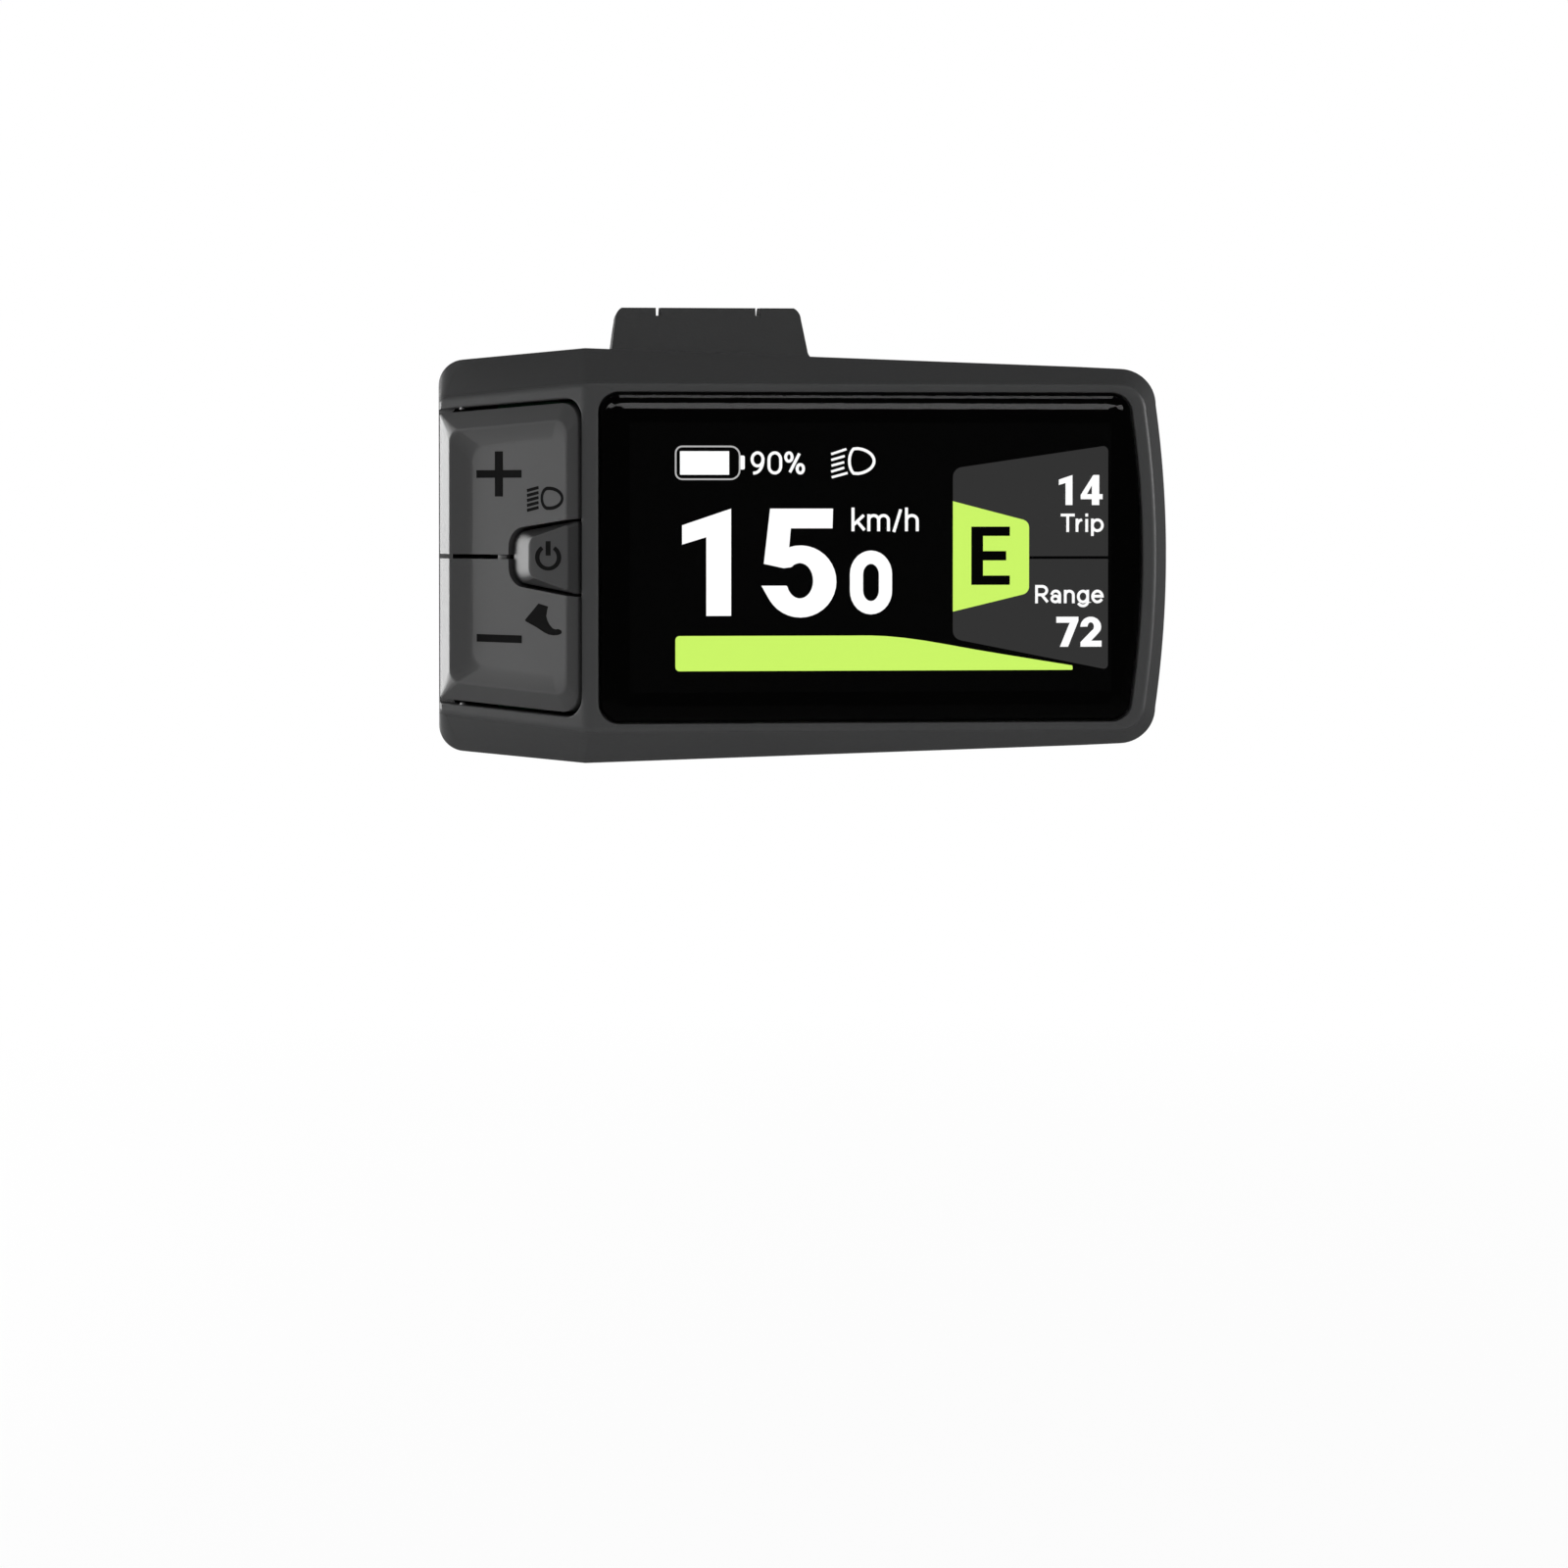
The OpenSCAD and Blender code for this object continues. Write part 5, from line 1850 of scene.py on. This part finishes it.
@dataclass
class Marks:
    """The marks printed on the keys, in the facet's frame.

    The reach of the signs is half their width and half their height, and their bars are the widths of
    the upright and of the level one.
    """
    pad: KeyPad
    sign_s: float = 13.68
    plus_z: float = 10.2
    minus_z: float = -10.07
    reach: Point = (3.8, 2.78)
    bar: Point = (1.36, 0.95)
    line: float = 0.42
    ray_count: int = 5
    ray_levels: Point = (5.72, 8.14)
    ray_s: Point = (8.98, 7.06)
    ray_rise: float = 0.38
    ray_share: float = 0.9
    lens_z: float = 7.2
    lens_half: float = 1.22
    lens_front: Point = (-5.38, 2.2)
    lens_back: Point = (-5.53, 1.0)
    power_at: Point = (-5.45, 0.02)
    ring_outer: Point = (2.06, 1.61)
    ring_inner: Point = (1.36, 1.14)
    ring_turn: Point = (123, 417)
    stroke_z: Point = (0.22, 1.97)
    stroke_w: float = 0.76
    foot_spots: tuple[Point, ...] = (
        (7.10, -5.62), (5.52, -5.96), (5.68, -6.5), (5.82, -7.15), (5.6, -7.75), (5.2, -8.25), (4.75, -8.6),
        (4.3, -8.72), (3.85, -8.66), (3.4, -8.8), (3.25, -9.02), (3.42, -9.25), (3.95, -9.4), (4.63, -9.46),
        (5.4, -9.38), (6.13, -9.15), (7.4, -8.55), (9.23, -7.84), (9.32, -7.66))

    def plus(self, solid: Solid) -> None:
        """Plus sign, wider than it is high so that it looks square from the rider's seat.

        Args:
            solid: the mesh that the mark goes into.
        """
        x, z = -self.sign_s, self.plus_z
        self.across(solid, z)
        for near, far in ((-self.reach[1], -self.bar[1] / 2), (self.bar[1] / 2, self.reach[1])):
            solid.ribbon(self.pad.dense([(x, z + near), (x, z + far)]), self.bar[0], -1, 0)

    def minus(self, solid: Solid) -> None:
        """Minus sign."""
        self.across(solid, self.minus_z)

    def across(self, solid: Solid, z: float) -> None:
        """The level bar of both signs.

        Args:
            solid: the mesh that the mark goes into.
            z: its height.
        """
        x, reach = -self.sign_s, self.reach[0]
        solid.ribbon(self.pad.dense([(x - reach, z), (x + reach, z)]), self.bar[1], -1, 0)

    def lamp(self, solid: Solid) -> None:
        """Headlight symbol: a D with five slanted rays.

        Args:
            solid: the mesh that the mark goes into.
        """
        far, near = self.ray_s
        for k in range(self.ray_count):
            level = mix(*self.ray_levels, k / (self.ray_count - 1))
            ray = [(-far, level), (-near, level + self.ray_rise)]
            solid.ribbon(self.pad.dense(ray), self.line * self.ray_share, -1, 0)
        front_x, front_r = self.lens_front
        back_x, back_r = self.lens_back
        path = (arc(front_x, self.lens_z, front_r, self.lens_half, 82, -82, 14)
                + arc(back_x, self.lens_z, back_r, self.lens_half, 262, 98, 10))
        solid.ribbon(self.pad.dense(path + path[:1])[:-1], self.line, -1, 0, closed=True)

    def power(self, solid: Solid) -> None:
        """Power symbol: a broken ring and a stroke.

        Args:
            solid: the mesh that the mark goes into.
        """
        x, z = self.power_at
        first, last = self.ring_turn
        outer = arc(x, z, *self.ring_outer, first, last, 28)
        inner = arc(x, z, *self.ring_inner, last, first, 28)
        solid.prism(outer + inner, -1, 0)
        low, high = self.stroke_z
        solid.ribbon(self.pad.dense([(x, z + low), (x, z + high)]), self.stroke_w, -1, 0)

    def foot(self, solid: Solid) -> None:
        """Walking foot.

        Args:
            solid: the mesh that the mark goes into.
        """
        outline = [(-s, z) for s, z in self.foot_spots]
        solid.prism(self.pad.dense(outline + outline[:1], 0.4)[:-1], -1, 0)


# Pieces that stay as the frame gives them

CAD_DRESS = {
    Slot.SHELL: ("back_housing",),
    Slot.BRACKET: ("clamp_bracket", "clamp_strap"),
    Slot.RUBBER: ("housing_seal", "key_mat", "cable_gland", "bracket_pad", "strap_pad"),
    Slot.STEEL: ("housing_screws", "board_screws", "bracket_screws", "hinge_pin"),
    Slot.BOLT_STEEL: ("clamp_bolt", "bolt_washer"),
    Slot.BRASS: ("threaded_insert",),
    Slot.TAPE: ("glass_tape",),
    Slot.LCD: ("lcd_panel",),
    Slot.BACKLIGHT: ("lcd_backlight",),
    Slot.FLEX: ("display_flex", "key_flex"),
    Slot.BOARD: ("main_board", "key_board"),
    Slot.CHIP: ("processor_chip", "power_components"),
    Slot.CAN: ("radio_module", "key_switches"),
    Slot.CONNECTOR: ("flex_connectors", "board_socket"),
}


class Carried:
    """Nodes that keep their own shape, with softened edges and a finish."""
    EDGES: dict[str, float] = {"back_housing": 0.0002, "clamp_bracket": 0.00035, "clamp_strap": 0.0003,
                               "cable_gland": 0.0002}
    EDGE: float = 0.00008
    WELD: float = 2e-6
    PLANE: float = 1.0
    CORNER: float = 30.0

    def dress(self) -> None:
        """Softens and finishes every carried node."""
        for slot, names in CAD_DRESS.items():
            for name in names:
                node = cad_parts[name]
                node.data.materials.clear()
                node.data.materials.append(PALETTE.get(slot))
                self.refine(node, self.EDGES.get(name, self.EDGE))
                log.info("%s keeps its shape", name)

    def refine(self, node: bpy.types.Object, width: float) -> None:
        """Welds, flattens and bevels a node by modifiers alone.

        Args:
            node: the node.
            width: width of its bevels in metres.
        """
        weld = node.modifiers.new("weld", "WELD")
        weld.merge_threshold = self.WELD
        plane = node.modifiers.new("planes", "DECIMATE")
        plane.decimate_type = "DISSOLVE"
        plane.angle_limit = math.radians(self.PLANE)
        soften(node, width, self.CORNER)


# Stage

@dataclass(frozen=True)
class FloorPaint(Finish):
    """Pale floor: white for the camera with a faint shadow near the object, and dim in reflections.

    Args:
        pale: grey of the floor as it is lit.
        dim: grey of the floor in reflections.
        near: distance in metres within which the shadow shows most.
        rise: how fast the white grows beyond it, per metre.
        least: share of white within it.
    """
    pale: float = 0.7
    dim: float = 0.04
    near: float = 0.2
    rise: float = 2.5
    least: float = 0.88

    def paint(self, shader: Shader) -> None:
        """Mixes the lit floor with white by distance for the camera.

        Args:
            shader: the material's node tree.
        """
        pale = shader.node("ShaderNodeBsdfDiffuse", None, {"Color": (*(self.pale,) * 3, 1.0)})
        dim = shader.node("ShaderNodeBsdfDiffuse", None, {"Color": (*(self.dim,) * 3, 1.0)})
        white = shader.node("ShaderNodeEmission", None, {"Color": (1, 1, 1, 1), "Strength": 1.0})
        camera = shader.node("ShaderNodeLightPath", output="Is Camera Ray")
        glossy = Socket(shader, camera.out.node.outputs["Is Glossy Ray"])
        away = shader.node("ShaderNodeVectorMath", {"operation": "LENGTH"}, {0: shader.place()},
                           output="Value")
        beyond = ((away - self.near) * self.rise).at_least(0.0).at_most(1.0)
        share = beyond * (1 - self.least) + self.least
        seen = shader.node("ShaderNodeMixShader", None, {0: glossy, 1: pale, 2: dim})
        mixed = shader.node("ShaderNodeMixShader", None, {0: camera * share, 1: seen, 2: white})
        shader.node("ShaderNodeOutputMaterial", None, {"Surface": mixed})


@dataclass(frozen=True)
class Lamp:
    """A soft rectangular lamp: place and size in metres, power in watts, and whether reflections show it."""
    name: str
    place: Point3
    size: Point
    power: float
    seen: bool = True
    aim: Point3 = (0.01, -0.03, -0.012)

    def hang(self) -> None:
        """Puts the lamp in the scene."""
        data = bpy.data.lights.new(self.name, "AREA")
        data.shape = "RECTANGLE"
        data.size, data.size_y = self.size
        data.energy = self.power
        made = bpy.data.objects.new(self.name, data)
        made.location = self.place
        made.visible_camera = made.visible_glossy = made.visible_transmission = self.seen
        made.rotation_euler = (Vector(self.aim) - Vector(self.place)).to_track_quat("-Z", "Y").to_euler()
        bpy.context.scene.collection.objects.link(made)


LAMPS = (
    Lamp("left_box", (-0.55, 0.30, 0.0), (0.4, 0.36), 4.4),
    Lamp("low_box", (0.0, -0.1, -0.155), (0.9, 0.25), 1.15, seen=False),
    Lamp("top_strip", (0.0, -0.62, 0.197), (0.9, 0.06), 0.28),
    Lamp("front_fill", (-0.7, -0.65, -0.1), (0.5, 0.5), 0.85, seen=False),
    Lamp("mid_strip", (0.0, -0.39, 0.426), (0.9, 0.05), 0.17),
    Lamp("high_strip", (0.0, -0.15, 0.55), (0.9, 0.07), 0.6),
    Lamp("right_box", (0.7, -0.05, 0.1), (0.3, 0.3), 2.2),
)


@dataclass
class Studio:
    """Floor, background, lamps and camera."""
    lay: Layout = LAYOUT
    focal: float = 79.38
    sensor: float = 36.0
    shift: float = -0.144375
    clip: float = 0.01
    aim: Point3 = (7.8, 0.0, 0.0)
    distance: float = 420.0
    yaw: float = 4.5
    elevation: float = 1.0
    floor_z: float = -0.16
    floor_y: Point = (-1.2, 3.0)
    floor_half: float = 3.0
    sky: float = 0.85
    horizon: float = 0.2
    mirrored: float = 0.02
    behind_from: float = 0.97
    behind_rise: float = 50.0
    lamps: tuple[Lamp, ...] = LAMPS

    def camera(self) -> None:
        """Camera at the photograph's viewing angle."""
        data = bpy.data.cameras.new("camera")
        data.lens = self.focal
        data.sensor_width = self.sensor
        data.sensor_height = self.sensor
        data.sensor_fit = "HORIZONTAL"
        data.shift_y = self.shift
        data.clip_start = self.clip
        made = bpy.data.objects.new("camera", data)
        origin = self.lay.origin()
        target = Vector((self.aim[0] * MM, origin.y, origin.z))
        yaw, rise = math.radians(self.yaw), math.radians(self.elevation)
        back = Vector((-math.sin(yaw) * math.cos(rise), -math.cos(yaw) * math.cos(rise), math.sin(rise)))
        made.location = target + back * self.distance * MM
        made.rotation_euler = (-back).to_track_quat("-Z", "Y").to_euler()
        bpy.context.scene.collection.objects.link(made)
        bpy.context.scene.camera = made

    def world(self) -> None:
        """White behind the object for the camera, dim elsewhere."""
        world = bpy.data.worlds.new("studio")
        world.use_nodes = True
        bpy.context.scene.world = world
        shader = Shader(world.node_tree)
        camera = shader.node("ShaderNodeLightPath", output="Is Camera Ray")
        node = camera.out.node
        glossy = Socket(shader, node.outputs["Is Glossy Ray"])
        passing = Socket(shader, node.outputs["Is Transmission Ray"])
        heading = shader.node("ShaderNodeTexCoord", output="Generated")
        ahead = shader.node("ShaderNodeSeparateXYZ", None, {0: heading}, output="Y")
        height = shader.node("ShaderNodeSeparateXYZ", None, {0: heading}, output="Z")
        behind = ((ahead - self.behind_from) * self.behind_rise).at_least(0.0).at_most(1.0)
        seen = camera.at_least(glossy.at_least(passing) * behind)
        dim = shader.mix(height.at_least(0.0), (self.horizon,) * 3, (self.sky,) * 3)
        dark = shader.mix(glossy.at_least(passing), dim, (self.mirrored,) * 3)
        background = shader.node("ShaderNodeBackground", None,
                                 {"Color": shader.mix(seen, dark, (1.0, 1.0, 1.0)), "Strength": 1.0})
        shader.node("ShaderNodeOutputWorld", None, {"Surface": background})

    def floor(self) -> None:
        """Plain pale floor that stays white for the camera and keeps a faint shadow."""
        solid = Solid("floor", Matrix.Identity(4))
        near, far = self.floor_y
        half, level = self.floor_half, self.floor_z
        corners = [(-half, near, level), (half, near, level), (half, far, level), (-half, far, level)]
        solid.mesh.faces.new(solid.ring(corners))
        made = solid.finish()
        made.data.materials.append(PALETTE.get(FloorPaint("floor_paint")))

    def build(self) -> None:
        """Sets the stage."""
        scene = bpy.context.scene
        scene.view_settings.view_transform = "Standard"
        self.camera()
        self.world()
        self.floor()
        for lamp in self.lamps:
            lamp.hang()


def main() -> None:
    """Builds the classes in order."""
    logging.basicConfig(level=logging.INFO, format="%(name)s: %(message)s")
    Studio().build()
    FrontShell().build()
    screen = Screen()
    screen.glass()
    screen.border()
    Readout(screen).build()
    KeyPad().build()
    Carried().dress()


if __name__ == "__main__":
    main()
